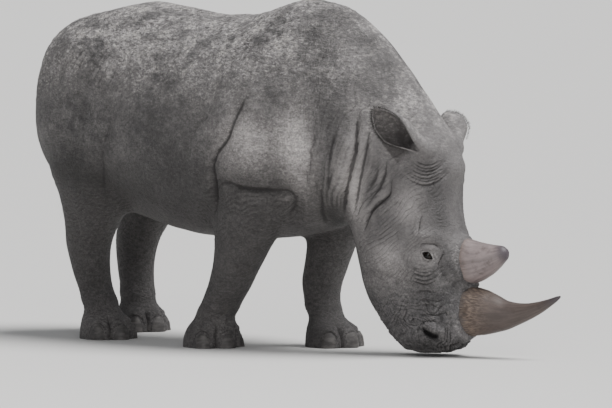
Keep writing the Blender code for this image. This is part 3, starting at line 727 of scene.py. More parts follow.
# Fans are parallel grooves that run from the first path to the second: how
# many, half width, depth, then the two paths.
FANS = [
    # under the eye, and behind it
    (5, 0.0042, 0.0078, [
        (1.123, 0.184, 0.462), (1.147, 0.177, 0.436), (1.188, 0.168, 0.430), (1.228, 0.159, 0.444),
        (1.249, 0.149, 0.460)], [
        (1.090, 0.182, 0.420), (1.128, 0.175, 0.365), (1.185, 0.165, 0.352), (1.236, 0.152, 0.372),
        (1.262, 0.138, 0.402)]),
    (3, 0.0035, 0.0040, [
        (1.135, 0.184, 0.500), (1.120, 0.184, 0.478), (1.128, 0.182, 0.452)], [
        (1.100, 0.186, 0.530), (1.080, 0.185, 0.480), (1.090, 0.182, 0.430)]),
    # under the root of the ear
    (7, 0.0065, 0.0105, [
        (1.120, 0.178, 0.985), (1.150, 0.166, 0.943), (1.190, 0.150, 0.930), (1.228, 0.118, 0.945),
        (1.248, 0.085, 0.985)], [
        (1.040, 0.194, 0.925), (1.110, 0.178, 0.855), (1.180, 0.158, 0.830), (1.245, 0.110, 0.860),
        (1.270, 0.040, 0.935)]),
    # cheek
    (9, 0.0036, 0.0019, [
        (0.900, 0.186, 0.640), (0.955, 0.192, 0.690), (1.030, 0.192, 0.760), (1.110, 0.183, 0.820)], [
        (0.880, 0.175, 0.480), (0.960, 0.188, 0.530), (1.050, 0.191, 0.590), (1.140, 0.182, 0.640)]),
    # hip
    (7, 0.0160, 0.0062, [
        (-0.800, 0.380, 1.490), (-0.822, 0.400, 1.440), (-0.860, 0.422, 1.370), (-0.915, 0.432, 1.280)], [
        (-0.540, 0.385, 1.440), (-0.570, 0.400, 1.380), (-0.605, 0.420, 1.300), (-0.650, 0.440, 1.210)]),
    # corner of the mouth, and above the nostril
    (3, 0.0070, 0.0060, [
        (1.050, 0.150, 0.110), (1.085, 0.150, 0.150), (1.100, 0.152, 0.210)], [
        (0.980, 0.150, 0.170), (1.020, 0.154, 0.225), (1.050, 0.158, 0.290)]),
    (4, 0.0060, 0.0085, [
        (1.140, 0.158, 0.200), (1.190, 0.155, 0.208), (1.245, 0.140, 0.205)], [
        (1.110, 0.166, 0.300), (1.180, 0.164, 0.318), (1.255, 0.146, 0.305)]),
]
TOE_GAPS = (33.0, -25.0)
NOSTRIL = [
    (1.150, 0.150, 0.166), (1.166, 0.150, 0.142), (1.195, 0.149, 0.119), (1.232, 0.141, 0.106),
    (1.262, 0.130, 0.112)]
NOSTRIL_FLAP = [(1.160, 0.150, 0.158), (1.195, 0.150, 0.152), (1.235, 0.143, 0.134), (1.275, 0.125, 0.108)]

# Bulges and hollows of the face: how high, where, how far they reach.
FACE_SHAPES = [
    (0.014, (1.20, 0.17, 0.590), (0.080, 0.06, 0.026)),  # brow over the eye
    (-0.012, (1.262, 0.145, 0.455), (0.035, 0.05, 0.075)),  # hollow before the eye
    (0.009, (1.06, 0.19, 0.44), (0.14, 0.08, 0.050)),  # cheek bone
    (-0.008, (1.08, 0.17, 0.315), (0.10, 0.08, 0.060)),  # hollow under it
    (-0.010, (1.255, 0.06, 0.72), (0.05, 0.05, 0.13)),  # forehead
    (0.020, (1.270, 0.03, 0.915), (0.05, 0.07, 0.050)),  # knob between the ears
    (-0.006, (1.270, 0.00, 0.800), (0.04, 0.08, 0.050)),  # dip under the knob
    (0.008, (1.10, 0.11, 0.085), (0.09, 0.06, 0.030)),  # lips
    (0.011, (1.150, 0.15, 0.085), (0.045, 0.06, 0.034)),  # corner of the lips
]

# Where the muzzle stays smooth: how much, where, how far it reaches.
SMOOTH_MUZZLE = [
    (0.9, (1.225, 0.145, 0.130), (0.055, 0.08, 0.040)),  # nostril
    (0.45, (1.300, 0.10, 0.21), (0.05, 0.09, 0.08)),  # foot of the front horn
]

# Painted shade: places of the hide made darker where shade falls: how strong, where, how far they reach.
PAINTED_SHADE = [
    (1.4, (0.66, 0.18, 1.54), (0.13, 0.24, 0.26)),  # hump
    (1.4, (0.77, 0.28, 1.12), (0.07, 0.14, 0.20)),  # behind the neck folds
    (0.5, (-0.80, 0.36, 1.38), (0.16, 0.20, 0.20)),  # rump
    (0.6, (-0.06, 0.43, 0.76), (0.30, 0.20, 0.14)),  # low flank
    (0.8, (-0.10, 0.44, 0.96), (0.36, 0.20, 0.34)),  # flank
    (1.1, (1.225, 0.13, 0.80), (0.06, 0.10, 0.13)),  # forehead
    (0.7, (1.245, 0.12, 0.66), (0.05, 0.08, 0.10)),  # between the eyes
    (0.7, (0.93, 0.22, 1.20), (0.10, 0.12, 0.08)),  # behind the ear
    (0.8, (0.87, 0.10, 1.46), (0.10, 0.14, 0.14)),  # crest of the neck, and on towards the head
    (0.7, (0.90, 0.10, 1.36), (0.10, 0.20, 0.16)),
    (0.5, (0.98, 0.10, 1.36), (0.10, 0.16, 0.12)),
    (1.0, (1.18, 0.12, 0.050), (0.16, 0.12, 0.050)),  # lips
]
# Painted light: places of the hide made lighter as if more strongly lit: how strong, where, how far they
# reach.
PAINTED_LIGHT = [
    (1.2, (0.40, 0.42, 1.01), (0.17, 0.30, 0.13)),  # shoulder
    (0.8, (0.60, 0.33, 1.02), (0.07, 0.20, 0.20)),  # before the shoulder
    (0.12, (0.64, 0.26, 0.77), (0.10, 0.14, 0.10)),  # chest
    (1.3, (0.815, 0.24, 0.91), (0.055, 0.20, 0.24)),  # hanging folds of the neck
    (0.5, (0.98, 0.20, 0.45), (0.13, 0.10, 0.13)),  # cheek
    (0.5, (1.10, 0.19, 0.74), (0.08, 0.10, 0.10)),  # temple
    (0.8, EYE_AT, (0.050, 0.08, 0.042)),  # lids
]


def along_body(p):
    """For each point: how far along the body its station is, how high it is from belly 0 to back 1,
    its turn round the body, 0 at the back, and the body's mean radius there."""
    rows = body_stations(240)
    back, belly = rows[:, 0:2], rows[:, 2:4]
    length = np.linalg.norm(back - belly, axis=1)
    way = (back - belly) / length[:, None]
    arc = np.concatenate([[0], np.cumsum(np.linalg.norm(np.diff(rows[:, 8:10], axis=0), axis=1))])
    along, high, turn, girth = (np.empty(len(p)) for _ in range(4))
    batch = 50000
    for start in range(0, len(p), batch):
        part = slice(start, start + batch)
        q = p[part][:, [0, 2]]
        behind = way[:, 0] * (q[:, None, 1] - belly[:, 1]) - way[:, 1] * (q[:, None, 0] - belly[:, 0])
        first = np.where((behind > 0).any(1), (behind > 0).argmax(1), len(rows) - 1)
        i = np.clip(first, 1, len(rows) - 1)
        k = np.arange(len(q))
        before, after = -behind[k, i - 1], behind[k, i]
        t = np.clip(before / np.where(np.abs(before + after) < 1e-9, 1e-9, before + after), 0, 1)
        row = rows[i - 1] + t[:, None] * (rows[i] - rows[i - 1])
        line = row[:, 0:2] - row[:, 2:4]
        along[part] = arc[i - 1] + t * (arc[i] - arc[i - 1])
        high[part] = ((q - row[:, 2:4]) * line).sum(1) / (line**2).sum(1)
        lift = (high[part] - row[:, 5]) / np.where(high[part] > row[:, 5], 1 - row[:, 5], row[:, 5])
        turn[part] = np.arctan2(p[part][:, 1] / row[:, 4], lift)
        girth[part] = (row[:, 4] + np.linalg.norm(line, axis=1) / 2) / 2
    return along, high, turn, girth


def around_leg(p, table, side):
    """Each point's turn round the leg's axis, 0 ahead and 90 degrees outward, how far out it is, 1 on the
    leg's own surface, and the row of the leg's table at its height."""
    table = np.array(table)[::-1]
    row = smooth_between(table[:, 2], table, np.clip(p[:, 2], table[0, 2], table[-1, 2]))
    ahead = (p[:, 0] - row[:, 0]) / row[:, 3]
    outward = (side * p[:, 1] - row[:, 1]) / row[:, 4]
    return np.arctan2(outward, ahead), np.hypot(ahead, outward), row


class Sculpt:
    """Moves the skin's points along its normals."""

    def __init__(self, obj):
        self.obj = obj
        self.p = points_of(obj)
        self.n = normals_of(obj)
        self.dark = np.zeros(len(self.p))  # painted shade: 1 in the nostrils and at the edges of the lids
        self.start = self.p.copy()  # where each point was before any fold, which the region masks read
        self.along, self.high, self.turn, self.girth = along_body(self.p)
        self.tree = BVHTree.FromObject(obj, bpy.context.evaluated_depsgraph_get())
        self.dice = np.random.default_rng(7)

    def settle(self):
        set_points(self.obj, self.p)
        self.n = normals_of(self.obj)

    def push(self, height):
        self.p = self.p + self.n * height[:, None]

    def onto(self, path):
        """The places of the skin nearest to a path."""
        return np.array([self.tree.find_nearest(Vector(at))[0] for at in path])

    def on_skin(self, path, side):
        """The path on the given side, moved onto the skin and made smooth."""
        path = self.onto(on_side(path, side))
        steps = np.linalg.norm(np.diff(path, axis=0), axis=1)
        keys = np.concatenate([[0], np.cumsum(steps)])
        return self.onto(smooth_between(keys, path, np.linspace(0, keys[-1], 40)))

    def near_line(self, line, reach):
        """The points within reach of a line: which they are, how far across it and how far along it from
        0 to 1 each is, and the way across."""
        low, high = line.min(0) - reach, line.max(0) + reach
        which = np.nonzero(((self.start > low) & (self.start < high)).all(1))[0]
        p = self.start[which]
        best, place = np.full(len(which), np.inf), np.zeros(len(which))
        foot, tangent = np.zeros((2, len(which), 3))
        for i in range(len(line) - 1):
            run = line[i + 1] - line[i]
            t = np.clip((p - line[i]) @ run / (run @ run + 1e-12), 0, 1)
            at = line[i] + t[:, None] * run
            far = ((p - at) ** 2).sum(1)
            closer = far < best
            best[closer] = far[closer]
            place[closer] = (i + t[closer]) / (len(line) - 1)
            foot[closer] = at[closer]
            tangent[closer] = run / (np.linalg.norm(run) + 1e-9)
        keep = best < reach * reach
        which, place, foot = which[keep], place[keep], foot[keep]
        across = np.cross(tangent[keep], self.n[which])
        across /= np.linalg.norm(across, axis=1)[:, None] + 1e-9
        away = np.sqrt(best[keep])
        return which, away * np.sign(((self.start[which] - foot) * across).sum(1)), place, across

    def groove(self, line, width, depth, lip=0.0, reach=0.0, hang=0.0, side=1, fade=0.16):
        """One groove along a line. lip and hang act on the side that lies ahead of or above it."""
        far = max(4.6 * width, 2.2 * reach)
        which, s, place, across = self.near_line(line, far)
        s, across = s * side, across * side
        ends = step_up(place, 0, fade) * step_up(place, 1, 1 - fade)
        wander = 0.75 + 0.25 * noise(self.start[which], 0.05, 11)
        narrow, broad = np.exp(-np.abs(s / width) ** 1.4), bell(s, 0, 2.1 * width)
        move = -depth * wander * (0.60 * narrow + 0.40 * broad)
        if lip:
            edge = step_up(np.abs(s), far, far * 0.7)
            above = np.where(s < 0, 1.0, 0.35)
            swell = (np.abs(s) / reach) * np.exp(1 - np.abs(s) / reach)
            tail_off = step_up(place, 0, 0.35) * step_up(place, 1, 0.65)
            move += lip * above * edge * swell * step_up(np.abs(s), 0, width) * tail_off
        slide = hang * bell(s, -0.5 * reach, 0.7 * reach + 1e-9) * (s < width)
        self.p[which] += self.n[which] * (move * ends)[:, None] + across * (slide * ends)[:, None]

    def folds(self, table):
        for width, depth, lip, reach, hang, path in table:
            on_neck = path[0][0] > 0.66 and path[0][2] > 0.8
            fade = 0.34 if on_neck else 0.16  # those of the neck die out slowly
            for side in (-1, 1):
                self.groove(self.on_skin(path, side), width, depth, lip, reach, hang, side, fade)

    def fans(self, table):
        for count, width, depth, first, last in table:
            for side in (-1, 1):
                first_line, last_line = self.on_skin(first, side), self.on_skin(last, side)
                for k in range(count):
                    share = (k + 0.3 * self.dice.uniform(-1, 1)) / max(count - 1, 1)
                    line = self.onto(first_line + (last_line - first_line) * share)
                    trim = self.dice.integers(0, 5, 2)
                    line = line[trim[0]: len(line) - trim[1]]
                    strength = self.dice.uniform(0.75, 1.15)
                    deep = depth * strength
                    self.groove(line, width * strength, deep, lip=deep * 0.4, reach=width * 2.1, fade=0.34)

    def wrinkles(self, where, phase, depth, seed, wander=0.45, patch=0.07, sharp=2.2):
        """Rounded ridges that come and go, with a narrow groove between at each whole number of phase."""
        active = np.nonzero(where > 0.01)[0]
        p = self.start[active]
        turn = phase[active] + wander * noise(p, 0.11, seed) + wander * 0.5 * noise(p, 0.045, seed + 1)
        ridge = np.abs(np.sin(np.pi * turn))
        come_and_go = step_up(noise(p, patch, seed + 2), -0.55, 0.25)
        height = -depth * where[active] * come_and_go * (1 - ridge) ** sharp
        self.p[active] += self.n[active] * height[:, None]

    def plates(self, where, size, depth, width, seed):
        """Cracks between small many-sided plates."""
        active = np.nonzero(where > 0.01)[0]
        p = self.start[active]
        p = p + 0.25 * size * np.column_stack([noise(p, size, seed + k) for k in range(3)])
        nearest, second = cells(p, size, seed)
        height = -depth * where[active] * bell(second - nearest, 0, width)
        self.p[active] += self.n[active] * height[:, None]


def cells(p, size, seed):
    """How far the nearest and the next of a scatter of points are, in units of their spacing, size."""
    q = p / size
    base = np.floor(q).astype(np.int64)
    nearest, second = np.full(len(p), 9.0), np.full(len(p), 9.0)
    for step in itertools.product((-1, 0, 1), repeat=3):
        cell = base + step
        spot = cell + np.column_stack([cell_number(*cell.T, seed + n) for n in (0, 5, 9)])
        far = np.sqrt(((q - spot) ** 2).sum(1))
        second = np.minimum(second, np.maximum(nearest, far))
        nearest = np.minimum(nearest, far)
    return nearest, second


def sculpt_masses(s):
    """Slack hide over ribs, hip and shoulder."""
    p, out = s.start, np.abs(s.start[:, 1])
    trunk = step_up(p[:, 2], 0.60, 0.75) * step_up(p[:, 0], 0.75, 0.35)
    s.push(0.0060 * noise(p, 0.26, 3) * trunk)
    s.push(0.0022 * noise(p, 0.085, 4) * step_up(p[:, 2], 0.10, 0.30))
    ribs = step_up(p[:, 0], -0.80, -0.60) * step_up(p[:, 0], 0.18, 0.00)
    ribs *= step_up(p[:, 2], 0.80, 0.95) * step_up(p[:, 2], 1.45, 1.25)
    ripple = np.sin((p[:, 0] + 0.18 * (p[:, 2] - 1.1)) * 2 * np.pi / 0.105 + 2 * noise(p, 0.30, 5))
    s.push(0.0008 * ribs * ripple)
    crust = step_up(s.high, 0.45, 0.85) * step_up(noise(p, 0.22, 9), -0.5, 0.4) * step_up(s.along, 2.5, 2.2)
    s.push(trunk * (0.0016 + 0.0018 * crust) * noise(p * (1, 1, 1.8), 0.040, 8, 2))
    s.push(0.0022 * crust * noise(p * (1, 1, 1.5), 0.020, 10))
    # shallow hollow behind the shoulder blade, and the hollow of the flank
    for deep, x, z, tall in ((0.012, 0.12, 1.15, 0.26), (0.014, -0.60, 1.10, 0.20)):
        s.push(-deep * bell(p[:, 0], x, 0.09) * bell(p[:, 2], z, tall) * step_up(out, 0.2, 0.4))
    spine = bell(out, 0, 0.035) * step_up(s.high, 0.8, 0.95)
    s.push(0.006 * spine * step_up(p[:, 0], -1.15, -0.9) * step_up(p[:, 0], 0.5, 0.1))
    s.settle()


def sculpt_foot(s, on, z, degrees):
    """Toes with gaps between, the heel, and a crease and a roll above them."""
    low = on * step_up(z, 0.135, 0.085)
    for aim, _ in TOES.values():
        s.push(0.010 * low * bell(degrees, aim, 19))
    for aim in TOE_GAPS:
        s.push(-0.017 * on * step_up(z, 0.125, 0.080) * np.exp(-np.abs((degrees - aim) / 5.0) ** 1.5))
    back = bell(np.abs(degrees), 180, 60)
    s.push(0.008 * low * back)
    s.push(-0.004 * on * bell(z, 0.150, 0.026) * (1 - 0.5 * back))
    s.push(0.003 * on * bell(z, 0.190, 0.026))


def sculpt_leg_skin(s, on, z, turn, joint):
    """Level wrinkles at ankle, wrist or hock and on the upper leg, and slanting ones between."""
    rear = 0.5 - 0.5 * np.cos(turn)
    drop = z + 0.030 * rear
    ankle = on * step_up(z, 0.10, 0.14) * step_up(z, 0.30, 0.22)
    s.wrinkles(ankle, drop / 0.0185, 0.0024, 21, wander=1.5)
    s.wrinkles(on * bell(z, joint, 0.09), (drop + 0.03 * np.sin(turn)) / 0.021, 0.0018, 31, wander=1.4)
    level = z + 0.10 * rear**1.2 + 0.035 * np.sin(turn)
    s.wrinkles(on * step_up(z, 0.44, 0.52), level / 0.022, 0.0044, 41, wander=1.9, patch=0.05, sharp=1.6)
    s.plates(on * step_up(z, 0.30, 0.45), 0.019, 0.0007, 0.26, 45)
    shank = on * step_up(z, 0.24, 0.30) * step_up(z, 0.46, 0.40)
    s.wrinkles(shank, (z * 0.7 + 0.09 * turn) / 0.018, 0.0020, 51, wander=1.6)


def sculpt_nail_beds(s, table, side):
    """A groove round the top of each toenail."""
    x, y, _, rx, ry = table[-2]
    for aim, wide in TOES.values():
        arc = []
        for a in np.linspace(-1, 1, 9):
            turned = math.radians(aim) + a * wide * 1.02 / ry
            rise = 0.010 + 0.076 * math.sqrt(max(1 - a * a, 0))
            arc.append((x + rx * math.cos(turned), y + ry * math.sin(turned), rise))
        s.groove(s.on_skin(arc, side), 0.0045, 0.0040, lip=0.003, reach=0.012, side=side, fade=0.10)


def sculpt_legs(s):
    """Each leg's own part of the skin."""
    x, y, z = s.start.T
    for name, (table, side) in LEGS.items():
        fore = name.startswith("front")
        turn, out, _ = around_leg(s.start, table, side)
        mine = (out < 1.45) & (z < 0.86) & (y * side > 0) & ((x > MID_BODY) == fore)
        mine &= (s.along < 2.6) & (x < 0.62)
        on = mine * step_up(z, 0.84, 0.68)
        sculpt_foot(s, on, z, np.degrees(turn))
        sculpt_leg_skin(s, on, z, turn, 0.40 if fore else 0.46)
        sculpt_nail_beds(s, table, side)
    s.settle()


def sculpt_neck(s):
    """The fine folds that run round the neck and over the hump."""
    p = s.start
    neck = step_up(p[:, 0], 0.52, 0.76) * step_up(s.along, 2.55, 2.35) * (p[:, 2] > 0.5)
    side = step_up(s.high, 0.92, 0.70)
    s.wrinkles(neck * side, s.along / 0.040, 0.0036, 61, wander=0.9, patch=0.12, sharp=1.5)
    s.wrinkles(neck * side, s.along / 0.015, 0.0012, 71, wander=0.8, patch=0.06)
    crest = step_up(s.high, 0.62, 0.85) * step_up(p[:, 0], 0.30, 0.50) * step_up(s.along, 2.60, 2.40)
    s.wrinkles(crest, s.along / 0.022, 0.0016, 81, wander=1.0, patch=0.08)
    s.settle()


def sculpt_face(s):
    """Cheek, brow and muzzle."""
    p, out = s.start, np.abs(s.start[:, 1])
    head = step_up(s.along, 2.35, 2.50)
    muzzle = step_up(p[:, 2], 0.36, 0.18) * head
    muzzle = np.clip(muzzle * (1 - blobs(p, SMOOTH_MUZZLE)), 0, 1)
    for height, at, reach in FACE_SHAPES:
        s.push(height * blob(p, at, reach))
    s.settle()
    s.push(muzzle * (0.0060 * noise(p, 0.070, 91, 2) + 0.0022 * noise(p, 0.022, 94)))
    swirl = np.hypot(p[:, 0] - 1.20, (p[:, 2] - 0.14) * 1.25)
    s.wrinkles(muzzle * step_up(swirl, 0.05, 0.09), swirl / 0.032, 0.0075, 101, wander=2.2, patch=0.060)
    s.wrinkles(muzzle, (p[:, 0] * 0.7 + p[:, 2] * 0.9) / 0.030, 0.0068, 106, wander=2.2, patch=0.055)
    cheek = head * step_up(p[:, 2], 0.30, 0.40) * step_up(p[:, 2], 0.98, 0.86) * step_up(out, 0.05, 0.12)
    slant = p[:, 2] * 0.80 - (p[:, 0] - 1.0) * 0.60
    s.wrinkles(cheek, slant / 0.0190, 0.0030, 111, wander=1.3, patch=0.06)
    s.plates(muzzle, 0.018, 0.0014, 0.18, 121)
    s.plates(head * step_up(p[:, 2], 0.30, 0.55), 0.015, 0.0006, 0.20, 131)
    s.settle()


def sculpt_nostrils(s):
    """A deep hole under a round flap."""
    for side in (-1, 1):
        outward = unit(on_side((0.50, 0.85, 0.10), side))
        for path, width, high in ((NOSTRIL_FLAP, 0.022, 0.024), (NOSTRIL, 0.0150, -0.044)):
            which, across, place, _ = s.near_line(s.on_skin(path, side), 3 * width)
            uneven = 1 + 0.12 * noise(s.start[which], 0.02, 161)
            wide = width * (0.45 + 0.65 * step_up(place, 0.1, 0.6)) * uneven
            ends = step_up(place, 0, 0.40) * step_up(place, 1, 0.76)
            share = ends * np.exp(-np.abs(across / wide) ** 2.2)
            s.p[which] += outward * (high * share)[:, None]
            # painted shade deep in the nostril hole
            if high < 0:
                s.dark[which] = np.maximum(s.dark[which], 0.9 * step_up(share, 0.25, 0.95))
    s.settle()


def eye_frame(side):
    """The eye's middle, the way it looks, the way of its slit to the front, and the way up across it."""
    at = on_side(EYE_AT, side)
    looks = unit(on_side((0.26, 0.95, 0.10), side))
    slit = np.array((0.86, 0, -0.50))
    slit = unit(slit - looks * (slit @ looks))
    rise = np.cross(looks, slit) * side
    return at, looks, slit, rise if rise[2] > 0 else -rise


def sculpt_eyes(s):
    """Lids drawn over the eyeball, with a slit between."""
    half_long, half_tall = EYE_SLIT
    lid, behind = EYE_RADIUS + 0.0042, EYE_RADIUS - 0.0040
    for side in (-1, 1):
        at, looks, slit, rise = eye_frame(side)
        which = np.nonzero(((s.p - at) ** 2).sum(1) < 0.075**2)[0]
        q = s.p[which] - at
        u, w, d = q @ slit, q @ rise, q @ looks
        keep = d > -0.01
        which, u, w, d = which[keep], u[keep], w[keep], d[keep]
        far = np.hypot(u, w)
        arch = np.clip(1 - (u / half_long) ** 2, 0, 1) * np.where(w > 0, 1.0, 0.75)
        past_end = np.hypot(np.abs(u) - half_long, w)
        edge = np.where(np.abs(u) < half_long, np.abs(w) - half_tall * arch, past_end)
        ball = np.sqrt(np.clip(lid**2 - far**2, 0, None))
        over = np.where(far < lid, ball, 0) + 0.0016 * bell(edge, 0.003, 0.0025)
        soft = d + 0.006 * bell(far, 0, 0.036)
        raised = np.maximum(np.maximum(d, over), soft)
        raised -= 0.0030 * bell(edge, 0.0125, 0.0022) * step_up(w, -0.004, 0.006)
        raised -= 0.0026 * bell(edge, 0.0100, 0.0020) * step_up(w, 0.004, -0.006)
        sunk = np.where(far < behind, np.sqrt(np.clip(behind**2 - far**2, 0, None)), 0)
        open_share = step_up(edge, 0.0006, -0.0010)
        target = raised + (sunk - raised) * open_share
        # painted shade: the edges of the lids darkened where they meet the eyeball
        rim = 0.85 * bell(np.clip(edge, 0, None), 0, 0.0024) * (far < 0.04)
        s.dark[which] = np.maximum(s.dark[which], rim)
        s.p[which] += looks * (target - d)[:, None]
    s.settle()


def sculpt_horn_collars(s, horns):
    """Rough skin that rises in a roll round the foot of each horn."""
    for horn, high in zip(horns, (0.015, 0.017)):
        tree = BVHTree.FromObject(horn, bpy.context.evaluated_depsgraph_get())
        box = points_of(horn)
        low, top = box.min(0) - 0.08, box.max(0) + 0.08
        which = np.nonzero(((s.p > low) & (s.p < top)).all(1))[0]
        away = np.array([tree.find_nearest(Vector(at))[3] for at in s.p[which]])
        outside = s.n[which, 0] > -0.2
        rough = 1 + 0.30 * noise(s.p[which], 0.060, 141)
        roll = high * rough * bell(np.clip(away - 0.008, 0, None), 0, 0.019)
        trough = -0.004 * rough * bell(away, 0.052, 0.014)
        s.p[which] += s.n[which] * ((roll + trough) * outside)[:, None]
    s.settle()


def sculpt_ears(s):
    """Soft unevenness over each ear."""
    for side in (-1, 1):
        t, far = ear_parts(s.start, side)
        ear = step_up(t, 0.30, 0.45) * (t < 1.05) * near_ear(s.start, side, far, 0.13)
        s.push(ear * 0.0014 * noise(s.start, 0.035, 151))
    s.settle()


def sculpt(obj, horns):
    s = Sculpt(obj)
    sculpt_masses(s)
    s.folds(FOLDS)
    s.settle()
    s.fans(FANS)
    s.settle()
    sculpt_legs(s)
    sculpt_neck(s)
    sculpt_face(s)
    sculpt_nostrils(s)
    sculpt_eyes(s)
    sculpt_horn_collars(s, horns)
    sculpt_ears(s)
    on_floor = s.start[:, 2] < 0.002
    s.p[on_floor, 2] = 0.0
    s.p[:, 2] = np.maximum(s.p[:, 2], 0.0)
    return s


# ---------------------------------------------------------------- what the surfaces read
def hollows(obj, rounds):
    """How far each point lies below its smoothed surroundings, in metres; ridges are negative."""
    points, net = points_of(obj), net_of(obj)
    calm = points
    for _ in range(rounds):
        calm = mean_of_neighbours(calm, net)
    return ((calm - points) * normals_of(obj)).sum(1)


def keep_number(obj, name, values):
    layer = obj.data.attributes.new(name, "FLOAT", "POINT")
    layer.data.foreach_set("value", np.asarray(values, np.float32))


def keep_vector(obj, name, values):
    layer = obj.data.attributes.new(name, "FLOAT_VECTOR", "POINT")
    layer.data.foreach_set("vector", np.asarray(values, np.float32).ravel())


def on_ears(p):
    share = np.zeros(len(p))
    for side in (-1, 1):
        t, far = ear_parts(p, side)
        share = np.maximum(share, step_up(t, 0.22, 0.40) * near_ear(p, side, far))
    return share


def in_cups(s):
    """1 on the inner side of each ear."""
    share = np.zeros(len(s.start))
    for side in (-1, 1):
        t, far = ear_parts(s.start, side)
        root, tip = ear_ends(side)
        off = s.start - root - t[:, None] * (tip - root)
        inner = ((off * s.n).sum(1) < 0) & (t > 0.12) & near_ear(s.start, side, far)
        share = np.maximum(share, inner * step_up(t, 0.12, 0.25))
    return share


def keep_regions(obj, s):
    """The skin's coordinates and region shares, which its material reads."""
    p = s.start
    x, y, z = p.T
    keep_vector(obj, "rest", p)
    keep_vector(obj, "flow", np.column_stack([s.along, s.turn * s.girth, np.zeros(len(p))]))
    fine, broad = hollows(obj, 3), hollows(obj, 14)
    # painted shadow under the nose and in the mouth, added to the near-black mask
    painted_shadow_under_nose = 0.45 * blob(p, (1.19, 0.125, 0.055), (0.12, 0.10, 0.040))
    light = blobs(p, PAINTED_LIGHT)
    # painted light: the shaded front of the far foreleg and the near feet lightened as if lit from the floor
    light += 0.12 * blob(p, (0.62, 0.28, 0.36), (0.22, 0.14, 0.28), mirrored=False)
    light += 0.16 * (y < 0) * step_up(z, 0.24, 0.08)
    shares = {
        "hollow": np.clip(fine / 0.0011, -1, 1) * 0.5 + np.clip(broad / 0.0060, -1, 1) * 0.5,
        "neck": step_up(x, 0.45, 0.62) * step_up(s.along, 2.62, 2.42) * (z > 0.5),
        "leg": step_up(z, 0.88, 0.60) * step_up(x, 0.64, 0.58),
        "muzzle": step_up(z, 0.40, 0.14) * step_up(x, 0.70, 0.95),
        "back": step_up(s.high, 0.50, 0.88) * step_up(s.along, 2.55, 2.20),
        # belly: painted shade, the underside of the body darkened
        "belly": step_up(s.high, 0.44, 0.16) * step_up(s.along, 2.50, 2.20),
        "pale": step_up(x, 0.60, 0.95) * step_up(z, 0.30, 0.60),
        "ear": on_ears(p),
        "cup": in_cups(s),
        "dark": np.clip(s.dark + painted_shadow_under_nose, 0, 1),
        # painted shade, read by the material
        "shade": np.clip(blobs(p, PAINTED_SHADE) * (0.9 + 0.4 * noise(p, 0.12, 19)), 0, 1),
        "light": np.clip(light * (0.8 + 0.5 * noise(p, 0.10, 17)), 0, 1),
    }
    for name, share in shares.items():
        keep_number(obj, name, share)


